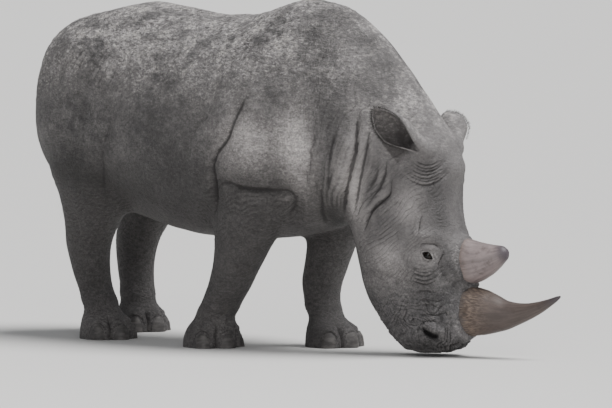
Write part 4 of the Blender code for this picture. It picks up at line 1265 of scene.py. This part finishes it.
class BakeMap:
    """Finds every face of the skin its place on the bake map, region by region."""

    def __init__(self, mesh, s):
        self.mesh, self.p = mesh, s.start
        self.corner = np.empty(len(mesh.loops), np.int32)
        mesh.loops.foreach_get("vertex_index", self.corner)
        self.size = np.empty(len(mesh.polygons), np.int32)
        mesh.polygons.foreach_get("loop_total", self.size)
        self.face = np.repeat(np.arange(len(self.size)), self.size)
        self.middle, self.lean = self.mean_of_face(s.start), self.mean_of_face(s.n)
        self.uv = np.column_stack([s.along / s.along.max(), s.turn / (2 * np.pi) + 0.5])[self.corner]
        # the left, bottom, width and height of each face's patch, and whether its turn wraps round
        self.patches = np.tile((0.0, 0.005, 1.0, 0.585), (len(self.size), 1))
        self.wraps = np.ones(len(self.size), bool)

    def mean_of_face(self, values):
        total = [np.bincount(self.face, v[self.corner], len(self.size)) for v in values.T]
        return np.column_stack(total) / self.size[:, None]

    def patch(self, chosen, u, v, box, closed):
        inside = chosen[self.face]
        self.uv[inside] = np.column_stack([u, v])[self.corner[inside]]
        self.patches[chosen] = box
        self.wraps[chosen] = closed

    def legs(self):
        """A strip for each leg and a square for each sole."""
        p, (x, y, z) = self.p, self.middle.T
        for k, (name, (table, side)) in enumerate(LEGS.items()):
            mine = (z < 0.50) & (x < 0.62) & (y * side > 0) & ((x > MID_BODY) == name.startswith("front"))
            turn, _, row = around_leg(p, table, side)
            round_leg = (turn + np.pi / 2) / (2 * np.pi) % 1
            self.patch(mine, p[:, 2] / 0.55, round_leg, (0.01 + 0.245 * k, 0.62, 0.225, 0.215), True)
            ahead = (p[:, 0] - row[:, 0]) / (2.6 * row[:, 3]) + 0.5
            outward = (p[:, 1] * side - row[:, 1]) / (2.6 * row[:, 4]) + 0.5
            self.patch(mine & (z < 0.002), ahead, outward, (0.70 + 0.07 * k, 0.87, 0.06, 0.06), False)

    def tail(self):
        p, (x, y, z) = self.p, self.middle.T
        mine = (x < -1.347) & (z < 1.18) & (np.abs(y) < 0.05)
        round_tail = (np.arctan2(p[:, 1], p[:, 0] + 1.379) / (2 * np.pi)) % 1
        self.patch(mine, (p[:, 2] - 0.70) / 0.52, round_tail, (0.01, 0.87, 0.16, 0.055), True)

    def ears(self):
        """A patch for the inner and one for the outer face of each ear."""
        for k, side in enumerate((-1, 1)):
            t, _ = ear_parts(self.p, side)
            t_middle, far = ear_parts(self.middle, side)
            mine = (t_middle > 0.30) & near_ear(self.middle, side, far)
            inner = self.lean @ on_side(EAR_FACING, side) > 0
            width_way = np.cross(np.array(EAR_TIPS[side]) - EAR_BASE, EAR_FACING)
            across = (self.p - on_side(EAR_BASE, side)) @ width_way / 0.060 + 0.5
            for chosen, left in ((mine & inner, 0.20), (mine & ~inner, 0.44)):
                box = (left + 0.12 * k, 0.87, 0.105, 0.115)
                self.patch(chosen, np.clip(t, 0.2, 1.1) - 0.15, across, box, False)

    def mend_seams(self):
        """Moves the corners that a face has on the far side of its patch's seam over to this side."""
        turn = self.uv[:, 1].copy()
        low, high = np.full(len(self.size), 9.0), np.full(len(self.size), -9.0)
        np.minimum.at(low, self.face, turn)
        np.maximum.at(high, self.face, turn)
        torn = (self.wraps & (high - low > 0.5))[self.face] & (turn < 0.5)
        self.uv[torn, 1] += 1

    def keep(self):
        box = self.patches[self.face]
        uv = box[:, :2] + self.uv * box[:, 2:]
        layer = self.mesh.uv_layers.new(name="OFBake")
        layer.data.foreach_set("uv", np.clip(uv, 0.0005, 0.9995).astype(np.float32).ravel())


def lay_out(obj, s):
    """Unwraps the skin: trunk to muzzle, each leg, each sole, the tail, and both faces of each ear."""
    layout = BakeMap(obj.data, s)
    layout.legs()
    layout.tail()
    layout.ears()
    layout.mend_seams()
    layout.keep()


# ---------------------------------------------------------------- materials
class Look:
    """A procedural material, built as one chain of nodes."""

    def __init__(self, name):
        self.material = bpy.data.materials.new(name)
        self.material.use_nodes = True
        self.tree = self.material.node_tree
        self.shader = self.tree.nodes["Principled BSDF"]

    def wire(self, socket, value):
        """Joins a node's output to the socket, or sets it to a plain value."""
        if isinstance(value, bpy.types.NodeSocket):
            self.tree.links.new(value, socket)
        else:
            socket.default_value = value

    def node(self, kind, **settings):
        made = self.tree.nodes.new(kind)
        for key, value in settings.items():
            setattr(made, key, value)
        return made

    def read(self, name, vector=False):
        made = self.node("ShaderNodeAttribute", attribute_name=name)
        return made.outputs["Vector" if vector else "Fac"]

    def sum(self, operation, a, b, clamp=False):
        made = self.node("ShaderNodeMath", operation=operation, use_clamp=clamp)
        self.wire(made.inputs[0], a)
        self.wire(made.inputs[1], b)
        return made.outputs[0]

    def times(self, a, b):
        return self.sum("MULTIPLY", a, b)

    def plus(self, a, b):
        return self.sum("ADD", a, b)

    def scaled(self, vector, by):
        made = self.node("ShaderNodeVectorMath", operation="MULTIPLY")
        self.wire(made.inputs[0], vector)
        self.wire(made.inputs[1], by)
        return made.outputs[0]

    def noise(self, vector, scale, detail=4.0, rough=0.5):
        made = self.node("ShaderNodeTexNoise")
        self.wire(made.inputs["Vector"], vector)
        made.inputs["Scale"].default_value = scale
        made.inputs["Detail"].default_value = detail
        made.inputs["Roughness"].default_value = rough
        return made.outputs["Fac"]

    def wandered(self, vector, scale, by):
        """The coordinates, pushed about by noise."""
        lumps = self.node("ShaderNodeTexNoise")
        self.wire(lumps.inputs["Vector"], vector)
        lumps.inputs["Scale"].default_value = scale
        made = self.node("ShaderNodeVectorMath", operation="MULTIPLY_ADD")
        self.wire(made.inputs[0], lumps.outputs["Color"])
        self.wire(made.inputs[1], (by, by, by))
        self.wire(made.inputs[2], vector)
        return made.outputs[0]

    def range(self, value, low, high, to_low=0.0, to_high=1.0):
        made = self.node("ShaderNodeMapRange", interpolation_type="SMOOTHSTEP")
        for socket, number in zip(made.inputs[:5], (value, low, high, to_low, to_high)):
            self.wire(socket, number)
        return made.outputs[0]

    def plates(self, vector, width=0.10):
        """0 in the cracks between plates one unit across, 1 on the plates."""
        made = self.node("ShaderNodeTexVoronoi", feature="DISTANCE_TO_EDGE")
        self.wire(made.inputs["Vector"], vector)
        made.inputs["Scale"].default_value = 1.0
        return self.range(made.outputs["Distance"], 0.0, width)

    def blend(self, share, a, b):
        made = self.node("ShaderNodeMix", data_type="RGBA", blend_type="MIX")
        self.wire(made.inputs[0], share)
        self.wire(made.inputs[6], a)
        self.wire(made.inputs[7], b)
        return made.outputs[2]

    def between(self, share, a, b):
        made = self.node("ShaderNodeMix", data_type="FLOAT")
        self.wire(made.inputs[0], share)
        self.wire(made.inputs[2], a)
        self.wire(made.inputs[3], b)
        return made.outputs[0]

    def bump(self, height, depth):
        made = self.node("ShaderNodeBump")
        made.inputs["Strength"].default_value = 1.0
        made.inputs["Distance"].default_value = depth
        self.wire(made.inputs["Height"], height)
        self.wire(self.shader.inputs["Normal"], made.outputs["Normal"])

    def finish(self, colour, roughness):
        self.wire(self.shader.inputs["Base Color"], colour)
        self.wire(self.shader.inputs["Roughness"], roughness)
        return self.material


# Tints of the hide, in the order they are laid on: region, strength, colour. Some of them are painted light
# and painted shade.
TINTS_AND_PAINTED_LIGHT = [
    ("pale", 0.12, (0.250, 0.230, 0.226, 1)),
    ("muzzle", 0.66, (0.084, 0.081, 0.085, 1)),
    # painted shade: the underside of the body darkened
    ("belly", 0.92, (0.020, 0.018, 0.017, 1)),
    # painted light: the legs lightened as if lit from the floor
    ("leg", 0.50, (0.128, 0.119, 0.118, 1)),
    # painted light: lightened where the light table places it
    ("light", 0.86, (0.620, 0.580, 0.566, 1)),
    # painted shade: darkened where the shade table places it
    ("shade", 0.78, (0.056, 0.052, 0.052, 1)),
    ("ear", 0.78, (0.118, 0.110, 0.109, 1)),
    # painted shade: the inside of each ear darkened
    ("cup", 0.84, (0.044, 0.038, 0.037, 1)),
]


def hide_plates(k, rest):
    """Large plates, drawn out down the neck and across the legs, and small ones: 0 in cracks, 1 on plates."""
    jittered = k.wandered(k.wandered(rest, 40, 0.012), 150, 0.004)
    flowing = k.wandered(k.wandered(k.read("flow", True), 28, 0.014), 120, 0.004)
    plates = k.plates(k.scaled(jittered, (88.0, 88.0, 104.0)), 0.26)
    ringed = k.plates(k.scaled(flowing, (140.0, 40.0, 1.0)), 0.26)
    level = k.plates(k.scaled(jittered, (50.0, 50.0, 150.0)), 0.26)
    cracks = k.between(k.times(k.read("neck"), 0.75), plates, ringed)
    cracks = k.between(k.times(k.read("leg"), 0.80), cracks, level)
    return cracks, k.plates(k.scaled(jittered, (215.0, 215.0, 215.0)), 0.28)


def hide_height(k, rest, cracks, clear, small):
    """Plates, lumps, knobs and grit; the face is calmer than the rest."""
    pale = k.read("pale")
    lumps = k.noise(k.scaled(rest, (1.0, 1.0, 1.5)), 92, 5, 0.62)
    knobs = k.noise(k.scaled(rest, (1.0, 1.0, 1.7)), 44, 4, 0.6)
    height = k.times(k.times(cracks, clear), 0.42)
    height = k.plus(height, k.times(small, 0.18))
    height = k.plus(height, k.times(lumps, k.between(pale, 1.05, 0.75)))
    height = k.plus(height, k.times(k.noise(rest, 460, 3, 0.6), 0.16))
    return k.plus(height, k.times(knobs, k.between(pale, 2.1, 0.9)))


def hide_ground(k, rest):
    """Uneven grey, tinted by region; some of the tints are painted light and painted shade."""
    patches = k.range(k.noise(rest, 3.0, 6, 0.62), 0.36, 0.64)
    colour = k.blend(patches, (0.068, 0.064, 0.065, 1), (0.152, 0.143, 0.142, 1))
    mottle = k.range(k.noise(rest, 17, 6, 0.68), 0.36, 0.66)
    colour = k.blend(k.times(mottle, k.between(k.read("pale"), 0.42, 0.24)), colour, (0.265, 0.250, 0.243, 1))
    for region, strength, tint in TINTS_AND_PAINTED_LIGHT:
        colour = k.blend(k.times(k.read(region), strength), colour, tint)
    return colour


def hide_dust_and_top_light(k, rest, colour, dust_and_top_light):
    """Dry mud on the back, with pale and dark flecks in it; the mud also lightens the top of the body as
    painted top light.
    """
    colour = k.blend(k.times(dust_and_top_light, 0.72), colour, (0.450, 0.426, 0.420, 1))
    clumps = k.times(k.sum("SUBTRACT", k.noise(rest, 13, 5, 0.65), 0.5), 0.50)
    specks = k.plus(k.noise(k.scaled(rest, (1.0, 1.0, 1.9)), 44, 4, 0.66), clumps)
    pale_flecks = k.times(k.range(specks, 0.52, 0.60), k.times(dust_and_top_light, 0.92))
    colour = k.blend(pale_flecks, colour, (0.560, 0.525, 0.495, 1))
    dark_flecks = k.times(k.range(specks, 0.47, 0.38), k.times(dust_and_top_light, 0.85))
    return k.blend(dark_flecks, colour, (0.070, 0.062, 0.060, 1))


def hide_speckle(k, rest, colour):
    """The colour made lighter and darker by coarse and fine grain, less so on the face."""
    fine = k.range(k.noise(rest, 120, 4, 0.65), 0.34, 0.66, 0.70, 1.26)
    coarse = k.range(k.noise(k.scaled(rest, (1.0, 1.0, 1.5)), 46, 4, 0.65), 0.34, 0.66, 0.74, 1.24)
    speckle = k.between(k.times(k.read("pale"), 0.60), k.times(fine, coarse), 1.0)
    spread = k.node("ShaderNodeCombineXYZ")
    for socket in spread.inputs:
        k.wire(socket, speckle)
    return k.scaled(colour, spread.outputs[0])


def skin_material():
    """Grey hide in small plates, dusty above with painted top light, and darkened in its folds and hollows as
    painted shade.
    """
    k = Look("rhino_skin")
    rest = k.read("rest", True)
    cracks, small = hide_plates(k, rest)
    # the plates show more in some places than in others
    places = k.range(k.noise(rest, 11, 4, 0.6), 0.36, 0.64, 0.25, 1.0)
    clear = k.times(places, k.between(k.read("pale"), 1.0, 0.30))
    k.bump(hide_height(k, rest, cracks, clear, small), 0.0085)
    bare = k.between(k.read("shade"), 1.0, 0.25)
    # dust on the back, which also lightens the top of the body as painted top light
    dust_and_top_light = k.times(k.times(k.read("back"), bare), k.range(k.noise(rest, 9, 6, 0.66), 0.34, 0.58))
    colour = hide_dust_and_top_light(k, rest, hide_ground(k, rest), dust_and_top_light)
    colour = hide_speckle(k, rest, colour)
    # painted shade: the inside of each ear darkened further
    colour = k.blend(k.times(k.read("cup"), 0.55), colour, (0.048, 0.042, 0.041, 1))
    hollow = k.times(k.read("hollow"), k.between(k.read("ear"), 1.0, 0.25))
    # ridges lightened: partly dust, partly painted highlight
    ridges = k.times(k.range(hollow, -0.10, -0.90, 0.0, 0.26), k.between(k.read("leg"), 1.0, 0.0))
    colour = k.blend(ridges, colour, (0.400, 0.375, 0.362, 1))
    # painted shade: the hollows and creases of the hide darkened
    colour = k.blend(k.range(hollow, 0.05, 0.90, 0.0, 0.72), colour, (0.020, 0.017, 0.017, 1))
    in_cracks = k.times(k.range(cracks, 0.0, 1.0, 0.34, 0.0), clear)
    colour = k.blend(in_cracks, colour, (0.035, 0.031, 0.030, 1))
    # painted shade: near black in the nostrils, at the lid edges and under the nose
    colour = k.blend(k.read("dark"), colour, (0.006, 0.005, 0.005, 1))
    gloss = k.between(k.noise(rest, 30, 3), 0.50, 0.70)
    return k.finish(colour, k.sum("ADD", gloss, k.times(dust_and_top_light, 0.15), clamp=True))


def horn_material(name, pale, dark_tip):
    """Packed fibres, rough and brown at the root, worn smooth and darker towards the tip."""
    k = Look(name)
    grain, tip = k.read("grain", True), k.read("tip")
    fibres = k.noise(grain, 260, 4, 0.65)
    streaks = k.noise(grain, 60, 4, 0.6)
    rough_share = k.range(tip, 0.42, 0.08)
    height = k.plus(k.times(fibres, 0.6), streaks)
    k.bump(k.times(height, k.between(rough_share, 0.35, 1.0)), 0.0022)
    colour = k.blend(k.range(streaks, 0.35, 0.65), tuple(c * 0.70 for c in pale[:3]) + (1,), pale)
    roots = k.blend(k.range(fibres, 0.40, 0.62), (0.055, 0.038, 0.028, 1), (0.240, 0.180, 0.140, 1))
    colour = k.blend(k.times(rough_share, 0.72), colour, roots)
    blots = k.range(k.noise(k.read("rest", True), 26, 5, 0.70), 0.48, 0.76)
    colour = k.blend(k.times(blots, 0.60), colour, (0.040, 0.029, 0.024, 1))
    # painted shade: the foot of the horn darkened where it meets the skin
    ragged = k.plus(tip, k.times(k.sum("SUBTRACT", k.noise(grain, 45, 4, 0.6), 0.5), 0.22))
    colour = k.blend(k.range(ragged, 0.17, 0.05, 0.0, 0.85), colour, (0.075, 0.066, 0.064, 1))
    colour = k.blend(k.range(tip, 0.78, 0.98, 0.0, 0.9), colour, dark_tip)
    return k.finish(colour, k.between(rough_share, 0.52, 0.82))


def nail_material():
    """Dull dark grey, streaked along the growth lines."""
    k = Look("toenail")
    grain = k.read("grain", True)
    streaks = k.noise(grain, 70, 4, 0.6)
    colour = k.blend(k.range(streaks, 0.36, 0.66), (0.044, 0.040, 0.039, 1), (0.100, 0.093, 0.089, 1))
    k.bump(k.plus(streaks, k.times(k.noise(grain, 240, 3), 0.5)), 0.0020)
    return k.finish(colour, k.between(streaks, 0.55, 0.80))


def eye_material():
    """A dark brown iris round a black pupil."""
    k = Look("eye")
    centre = k.read("centre")
    iris = k.blend(k.noise(k.read("rest", True), 700, 3), (0.006, 0.004, 0.003, 1), (0.014, 0.008, 0.005, 1))
    colour = k.blend(k.range(centre, 0.80, 0.88), iris, (0.007, 0.005, 0.005, 1))
    colour = k.blend(k.range(centre, 0.42, 0.36), colour, (0.001, 0.001, 0.001, 1))
    k.shader.inputs["Coat Weight"].default_value = 0.12
    k.shader.inputs["Specular IOR Level"].default_value = 0.22
    k.shader.inputs["Coat Roughness"].default_value = 0.03
    return k.finish(colour, k.between(k.range(centre, 0.74, 0.90), 0.10, 0.30))


def hair_material():
    """Nearly black bristles."""
    k = Look("hair")
    shade = k.noise(k.read("rest", True), 160, 2)
    colour = k.blend(shade, (0.008, 0.007, 0.007, 1), (0.040, 0.034, 0.030, 1))
    return k.finish(colour, k.between(shade, 0.45, 0.65))


# ---------------------------------------------------------------- skin, horns, nails, eyes
def place(obj):
    """Puts a piece modelled with the neck straight where it belongs in the frame."""
    set_points(obj, bend(points_of(obj)) + PLACE)
    shade_smooth(obj)
    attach(obj, "root")


def make_skin(horns):
    obj = flesh()
    s = sculpt(obj, horns)
    set_points(obj, s.p)
    keep_regions(obj, s)
    lay_out(obj, s)
    place(obj)
    obj.data.materials.append(skin_material())
    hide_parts("head", "neck", "trunk", "tail", *["leg_" + n for n in LEGS], "ear_right", "ear_left")
    return obj, s


def make_horn(name, table, material, rough):
    """A horn with its fibres, frayed at the root; the smoother it is, the slimmer its tip."""
    rows, n = 190, 120
    rings = np.array(curve_rings(table, rows, n))
    middle = rings.mean(1, keepdims=True)
    spoke = rings - middle
    radius = np.linalg.norm(spoke, axis=2, keepdims=True)
    t = np.broadcast_to(np.linspace(0, 1, rows)[:, None], (rows, n)).ravel()
    turn = np.broadcast_to(full_turn(n), (rows, n)).ravel()
    length = np.linalg.norm(np.diff(middle[:, 0], axis=0), axis=1).sum()
    stretched = np.column_stack([0.09 * np.cos(turn), 0.09 * np.sin(turn), t * length * 0.16])
    fray = step_up(t, 0.55, 0.12)
    lift = 0.0030 * rough * fray * noise(stretched, 0.016, 201, 3)
    lift += 0.0008 * (1 - t) * noise(stretched, 0.0045, 211, 2)
    lift += 0.0050 * rough * step_up(t, 0.42, 0.10) * noise(stretched * (1, 1, 4), 0.030, 205, 2)
    knots = np.column_stack([np.cos(turn) * 0.1, np.sin(turn) * 0.1, t * length])
    lift += 0.0022 * (1 - t) * noise(knots, 0.055, 221)
    slim = 1 - 0.5 * (1 - rough) * step_up(t, 0.55, 1.0).reshape(rows, n, 1)
    rings = middle + spoke * (slim + lift.reshape(rows, n, 1) / np.maximum(radius, 0.004))
    obj = new_object(name + "_keratin", *loft(rings))
    ends = [stretched[:n].mean(0), stretched[-n:].mean(0)]
    keep_vector(obj, "grain", np.concatenate([stretched, ends]))
    keep_number(obj, "tip", np.concatenate([t, [0.0, 1.0]]))
    keep_vector(obj, "rest", points_of(obj))
    place(obj)
    obj.data.materials.append(material)
    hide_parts(name)


def make_nail(name, table, side, aim, wide, material):
    """A broad nail on the front of a toe, with its growth lines level."""
    x, y, _, rx, ry = table[-2]
    turn = math.radians(aim) * side
    outward = unit(np.array((math.cos(turn) / rx, math.sin(turn) / ry, 0)))
    across = np.array((-outward[1], outward[0], 0))
    middle = np.array((x + rx * math.cos(turn), side * y + ry * math.sin(turn), NAIL_LIFT))
    keys = np.array(NAIL)
    rows = smooth_between(keys[:, 0], keys, np.linspace(0, keys[-1, 0], 30))
    a = full_turn(64)
    rings = []
    for z, share, proud in rows:
        u = np.sign(np.cos(a)) * np.abs(np.cos(a)) ** 0.8 * wide * share
        v = np.sign(np.sin(a)) * np.abs(np.sin(a)) ** 0.8 * NAIL_THICK + proud - NAIL_THICK
        v -= (u / 0.16) ** 2 * 0.30
        rings.append(middle + across * u[:, None] + outward * v[:, None] + (0, 0, z))
    points, faces = loft(rings)
    lines = 0.0010 * noise(points * (0.25, 0.25, 1), 0.008, 231) + 0.0016 * noise(points, 0.025, 233)
    inner = (points - middle) @ outward
    points = points + outward * (lines * step_up(inner, -0.01, 0.004))[:, None]
    points[:, 2] = np.maximum(points[:, 2], NAIL_LIFT)
    obj = new_object(name + "_keratin", points, faces)
    keep_vector(obj, "grain", points * (0.3, 0.3, 1))
    place(obj)
    obj.data.materials.append(material)
    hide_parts(name)


def make_eye(name, side, material):
    """An eyeball with a clear bulge over the iris."""
    at, looks, _, _ = eye_frame(side)
    mesh = bpy.data.meshes.new(name + "_ball")
    with editing(mesh) as out:
        bmesh.ops.create_uvsphere(out, u_segments=64, v_segments=48, radius=1.0)
    obj = link(name + "_ball", mesh)
    way = points_of(obj)
    off = np.arccos(np.clip(way @ looks, -1, 1))
    bulge = 0.0016 * step_up(off, 0.62, 0.20)
    points = at + way * (EYE_RADIUS - 0.0012 + bulge)[:, None]
    set_points(obj, points)
    keep_number(obj, "centre", off)
    keep_vector(obj, "rest", points)
    place(obj)
    obj.data.materials.append(material)
    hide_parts(name)


# ---------------------------------------------------------------- hair
def hair_faces(start, sides, joints):
    """The faces of one hair, and how far round and along it each of their corners lies, from 0 to 1."""
    faces, spots = [], []
    for j in range(joints - 1):
        for i in range(sides):
            p, q = start + j * sides + i, start + j * sides + (i + 1) % sides
            faces.append((p, q, q + sides, p + sides))
            spots += [((i + di) / sides, (j + dj) / joints) for di, dj in ((0, 0), (1, 0), (1, 1), (0, 1))]
    top = start + (joints - 1) * sides
    for i in range(sides):
        faces.append((top + i, top + (i + 1) % sides, top + sides))
        spots += [((i + di) / sides, (joints - 1 + dj) / joints) for di, dj in ((0, 0), (1, 0), (0.5, 1))]
    return faces, np.array(spots)


class Hair:
    """Makes stiff tapering hairs, each tuft as one mesh."""

    def __init__(self, shape, skin):
        self.dice = np.random.default_rng(11)
        self.tree = shape.tree
        self.homes = bake_places(skin)
        self.material = hair_material()

    def tuft(self, name, roots, ways, lengths, radius, sag=0.0, joints=5, sides=3):
        points, faces, coords = [], [], []
        for root, way, length in zip(roots, ways, lengths):
            way = unit(way)
            a = unit(np.cross(way, (0.3, 0.5, 0.81)))
            b = np.cross(way, a)
            curl = a * self.dice.uniform(-1, 1) + b * self.dice.uniform(-1, 1)
            own_faces, spots = hair_faces(len(points), sides, joints)
            for t in np.linspace(0, 1, joints):
                at = root + length * (way * t + (curl * 0.16 - (0, 0, sag)) * t * t)
                for turn in full_turn(sides):
                    points.append(at + (a * np.cos(turn) + b * np.sin(turn)) * radius * (1 - 0.85 * t))
            points.append(at + way * radius * 2)
            faces += own_faces
            # each hair has its own small patch of the bake map where it grows
            coords.append(self.homes[self.tree.find_nearest(Vector(root))[2]] + 0.003 * (spots - 0.5))
        mesh = bpy.data.meshes.new(name)
        mesh.from_pydata([tuple(p) for p in points], [], faces)
        obj = link(name, mesh)
        layer = mesh.uv_layers.new(name="OFBake")
        layer.data.foreach_set("uv", np.clip(np.concatenate(coords), 0, 1).astype(np.float32).ravel())
        keep_vector(obj, "rest", points_of(obj))
        place(obj)
        obj.data.materials.append(self.material)


def bake_places(obj):
    """Where each face of the skin lies on the bake map."""
    corner = np.empty(len(obj.data.loops) * 2, np.float32)
    obj.data.uv_layers["OFBake"].data.foreach_get("uv", corner)
    start = np.empty(len(obj.data.polygons), np.int32)
    obj.data.polygons.foreach_get("loop_start", start)
    return corner.reshape(-1, 2)[start]


def ear_rim(side, rows=61, n=33, first=24):
    """Places along both rims of an ear from a first row to the tip, with the way each hair leaves the rim and
    how thick the hair is there."""
    root, tip = ear_ends(side)
    points, _ = ear_shell(side, rows, n)
    outer = points[: rows * n].reshape(rows, n, 3)
    axis = outer.mean(1)
    run = unit(tip - root)
    spots = []
    for edge in (0, n - 1):
        for r in range(first, rows):
            t = r / (rows - 1)
            away = outer[r, edge] - axis[r]
            away /= np.linalg.norm(away) + 1e-9
            spots.append((outer[r, edge], away * 0.6 + run * (0.35 + 0.9 * t**3), t**2))
    return spots


def ear_fringe(hair, name, side):
    roots, ways, lengths = [], [], []
    for at, way, dense in ear_rim(side):
        for _ in range(int(6 + 20 * dense)):
            roots.append(at + hair.dice.normal(0, 0.0022, 3))
            ways.append(way + hair.dice.normal(0, 0.30, 3))
            lengths.append(hair.dice.uniform(0.006, 0.012 + 0.012 * dense))
    hair.tuft(name, roots, ways, lengths, 0.00045)


def tail_tuft(hair, count=420):
    roots, ways, lengths = [], [], []
    for _ in range(count):
        z = hair.dice.uniform(0.730, 0.850)
        turn = hair.dice.uniform(0, 2 * np.pi)
        c, s = np.cos(turn), np.sin(turn)
        roots.append(np.array((-1.380 + 0.010 * c, 0.020 * s, z)))
        ways.append(np.array((0.10 * c, 0.16 * s, -1)) + hair.dice.normal(0, 0.05, 3))
        lengths.append(hair.dice.uniform(0.09, 0.19))
    hair.tuft("tail_tuft", roots, ways, lengths, 0.0007, joints=6)


def lashes(hair, name, side, count=34):
    at, looks, slit, rise = eye_frame(side)
    half_long, half_tall = EYE_SLIT
    roots, ways, lengths = [], [], []
    for u in np.linspace(-0.75 * half_long, 0.75 * half_long, count):
        w = half_tall * (1 - (u / half_long) ** 2) + 0.001
        lift = math.sqrt(max((EYE_RADIUS + 0.004) ** 2 - u * u - w * w, 0))
        roots.append(at + slit * u + rise * w + looks * (lift - 0.001))
        ways.append(looks + slit * u * 12 - rise * 0.35 + hair.dice.normal(0, 0.10, 3))
        lengths.append(hair.dice.uniform(0.007, 0.011))
    hair.tuft(name, roots, ways, lengths, 0.00035, sag=0.4)


def make_hair(hair):
    ear_fringe(hair, "ear_fringe_right", -1)
    ear_fringe(hair, "ear_fringe_left", 1)
    tail_tuft(hair)
    lashes(hair, "lashes_right", -1)
    lashes(hair, "lashes_left", 1)


def make_nails():
    material = nail_material()
    for leg, (table, side) in LEGS.items():
        narrower = HIND_NAIL if leg.startswith("hind") else 1.0
        for toe, (aim, wide) in TOES.items():
            make_nail(f"nail_{leg}_{toe}", table, side, aim, wide * narrower, material)


def make_horns():
    front = horn_material("horn_front", (0.084, 0.062, 0.054, 1), (0.046, 0.038, 0.044, 1))
    rear = horn_material("horn_rear", (0.235, 0.190, 0.186, 1), (0.050, 0.040, 0.050, 1))
    make_horn("horn_front", HORN_FRONT, front, 1.0)
    make_horn("horn_rear", HORN_REAR, rear, 0.7)


PLACE = placement()
horn_shapes = [new_object("horn", *loft(curve_rings(table, 48, 48))) for table in (HORN_FRONT, HORN_REAR)]
skin, shape = make_skin(horn_shapes)
for helper in horn_shapes:
    bpy.data.objects.remove(helper, do_unlink=True)
make_hair(Hair(shape, skin))
make_horns()
make_nails()
eye_look = eye_material()
make_eye("eye_right", -1, eye_look)
make_eye("eye_left", 1, eye_look)


# ---------------------------------------------------------------- camera, light, floor
FLOOR_RINGS = (12.0, 120.0)  # radii; the outer one is so far out that no low view shows an edge
FLOOR_SIDES = 96
FLOOR_COLOUR = (0.66, 0.65, 0.635, 1)
SKY_COLOUR = (0.86, 0.89, 0.93, 1)
SKY_STRENGTH = 0.30
SUN_STRENGTH = 5.0
SUN_WIDTH = math.radians(36)  # wide, as through thin cloud
FILL_SIZE = 9.0
FILL_POWER = 840
FILL_AIM = (0.0, 0.0, 0.8)
SENSOR = 36.0
CLIP_END = 300
# to the camera's right, toward the camera, up
SUN_WAY = (0.42, 0.12, 0.90)
FILL_AT = (-1.0, 14.0, 5.6)
CAMERA_AIM = (0.257, 0.11, 0.70)


def in_view(right_by, toward_by, up):
    """A place or a way given by how far it lies to the camera's right, toward the camera, and up."""
    right = np.array([math.cos(VIEW_TURN), math.sin(VIEW_TURN), 0])
    toward = np.array([math.sin(VIEW_TURN), -math.cos(VIEW_TURN), 0])
    return right * right_by + toward * toward_by + (0, 0, up)


def make_floor():
    turn = full_turn(FLOOR_SIDES)
    rings = [np.column_stack([r * np.cos(turn), r * np.sin(turn), 0 * turn]) for r in FLOOR_RINGS]
    faces = [tuple(range(FLOOR_SIDES))]
    for i in range(FLOOR_SIDES):
        j = (i + 1) % FLOOR_SIDES
        faces.append((i, i + FLOOR_SIDES, j + FLOOR_SIDES, j))
    floor = new_object("floor", np.concatenate(rings), faces)
    pale = Look("floor")
    floor.data.materials.append(pale.finish(FLOOR_COLOUR, 0.9))


def make_sky():
    """Even light from all round."""
    world = bpy.data.worlds.new("studio")
    bpy.context.scene.world = world
    world.use_nodes = True
    background = world.node_tree.nodes["Background"]
    background.inputs["Color"].default_value = SKY_COLOUR
    background.inputs["Strength"].default_value = SKY_STRENGTH


def make_sun():
    light = bpy.data.lights.new("sky", "SUN")
    light.energy = SUN_STRENGTH
    light.angle = SUN_WIDTH
    sun = link("sky", light)
    sun.rotation_euler = Vector(in_view(*SUN_WAY)).to_track_quat("Z", "Y").to_euler()


def make_fill():
    """A large soft light from the camera's side, for the shaded flank and the face."""
    light = bpy.data.lights.new("fill", "AREA")
    light.energy = FILL_POWER
    light.size = FILL_SIZE
    fill = link("fill", light)
    fill.location = in_view(*FILL_AT)
    fill.rotation_euler = (Vector(FILL_AIM) - fill.location).to_track_quat("-Z", "Y").to_euler()


def make_camera():
    aim = Vector(in_view(*CAMERA_AIM) + PLACE)
    back = Vector(in_view(0, math.cos(VIEW_UP), math.sin(VIEW_UP)))
    lens = bpy.data.cameras.new("camera")
    lens.sensor_width = SENSOR
    lens.lens = SENSOR * VIEW_FAR / VIEW_WIDE
    lens.clip_end = CLIP_END
    obj = link("camera", lens)
    obj.location = aim + back * VIEW_FAR
    obj.rotation_euler = (-back).to_track_quat("-Z", "Y").to_euler()
    bpy.context.scene.camera = obj


make_floor()
make_sky()
make_sun()
make_fill()
make_camera()
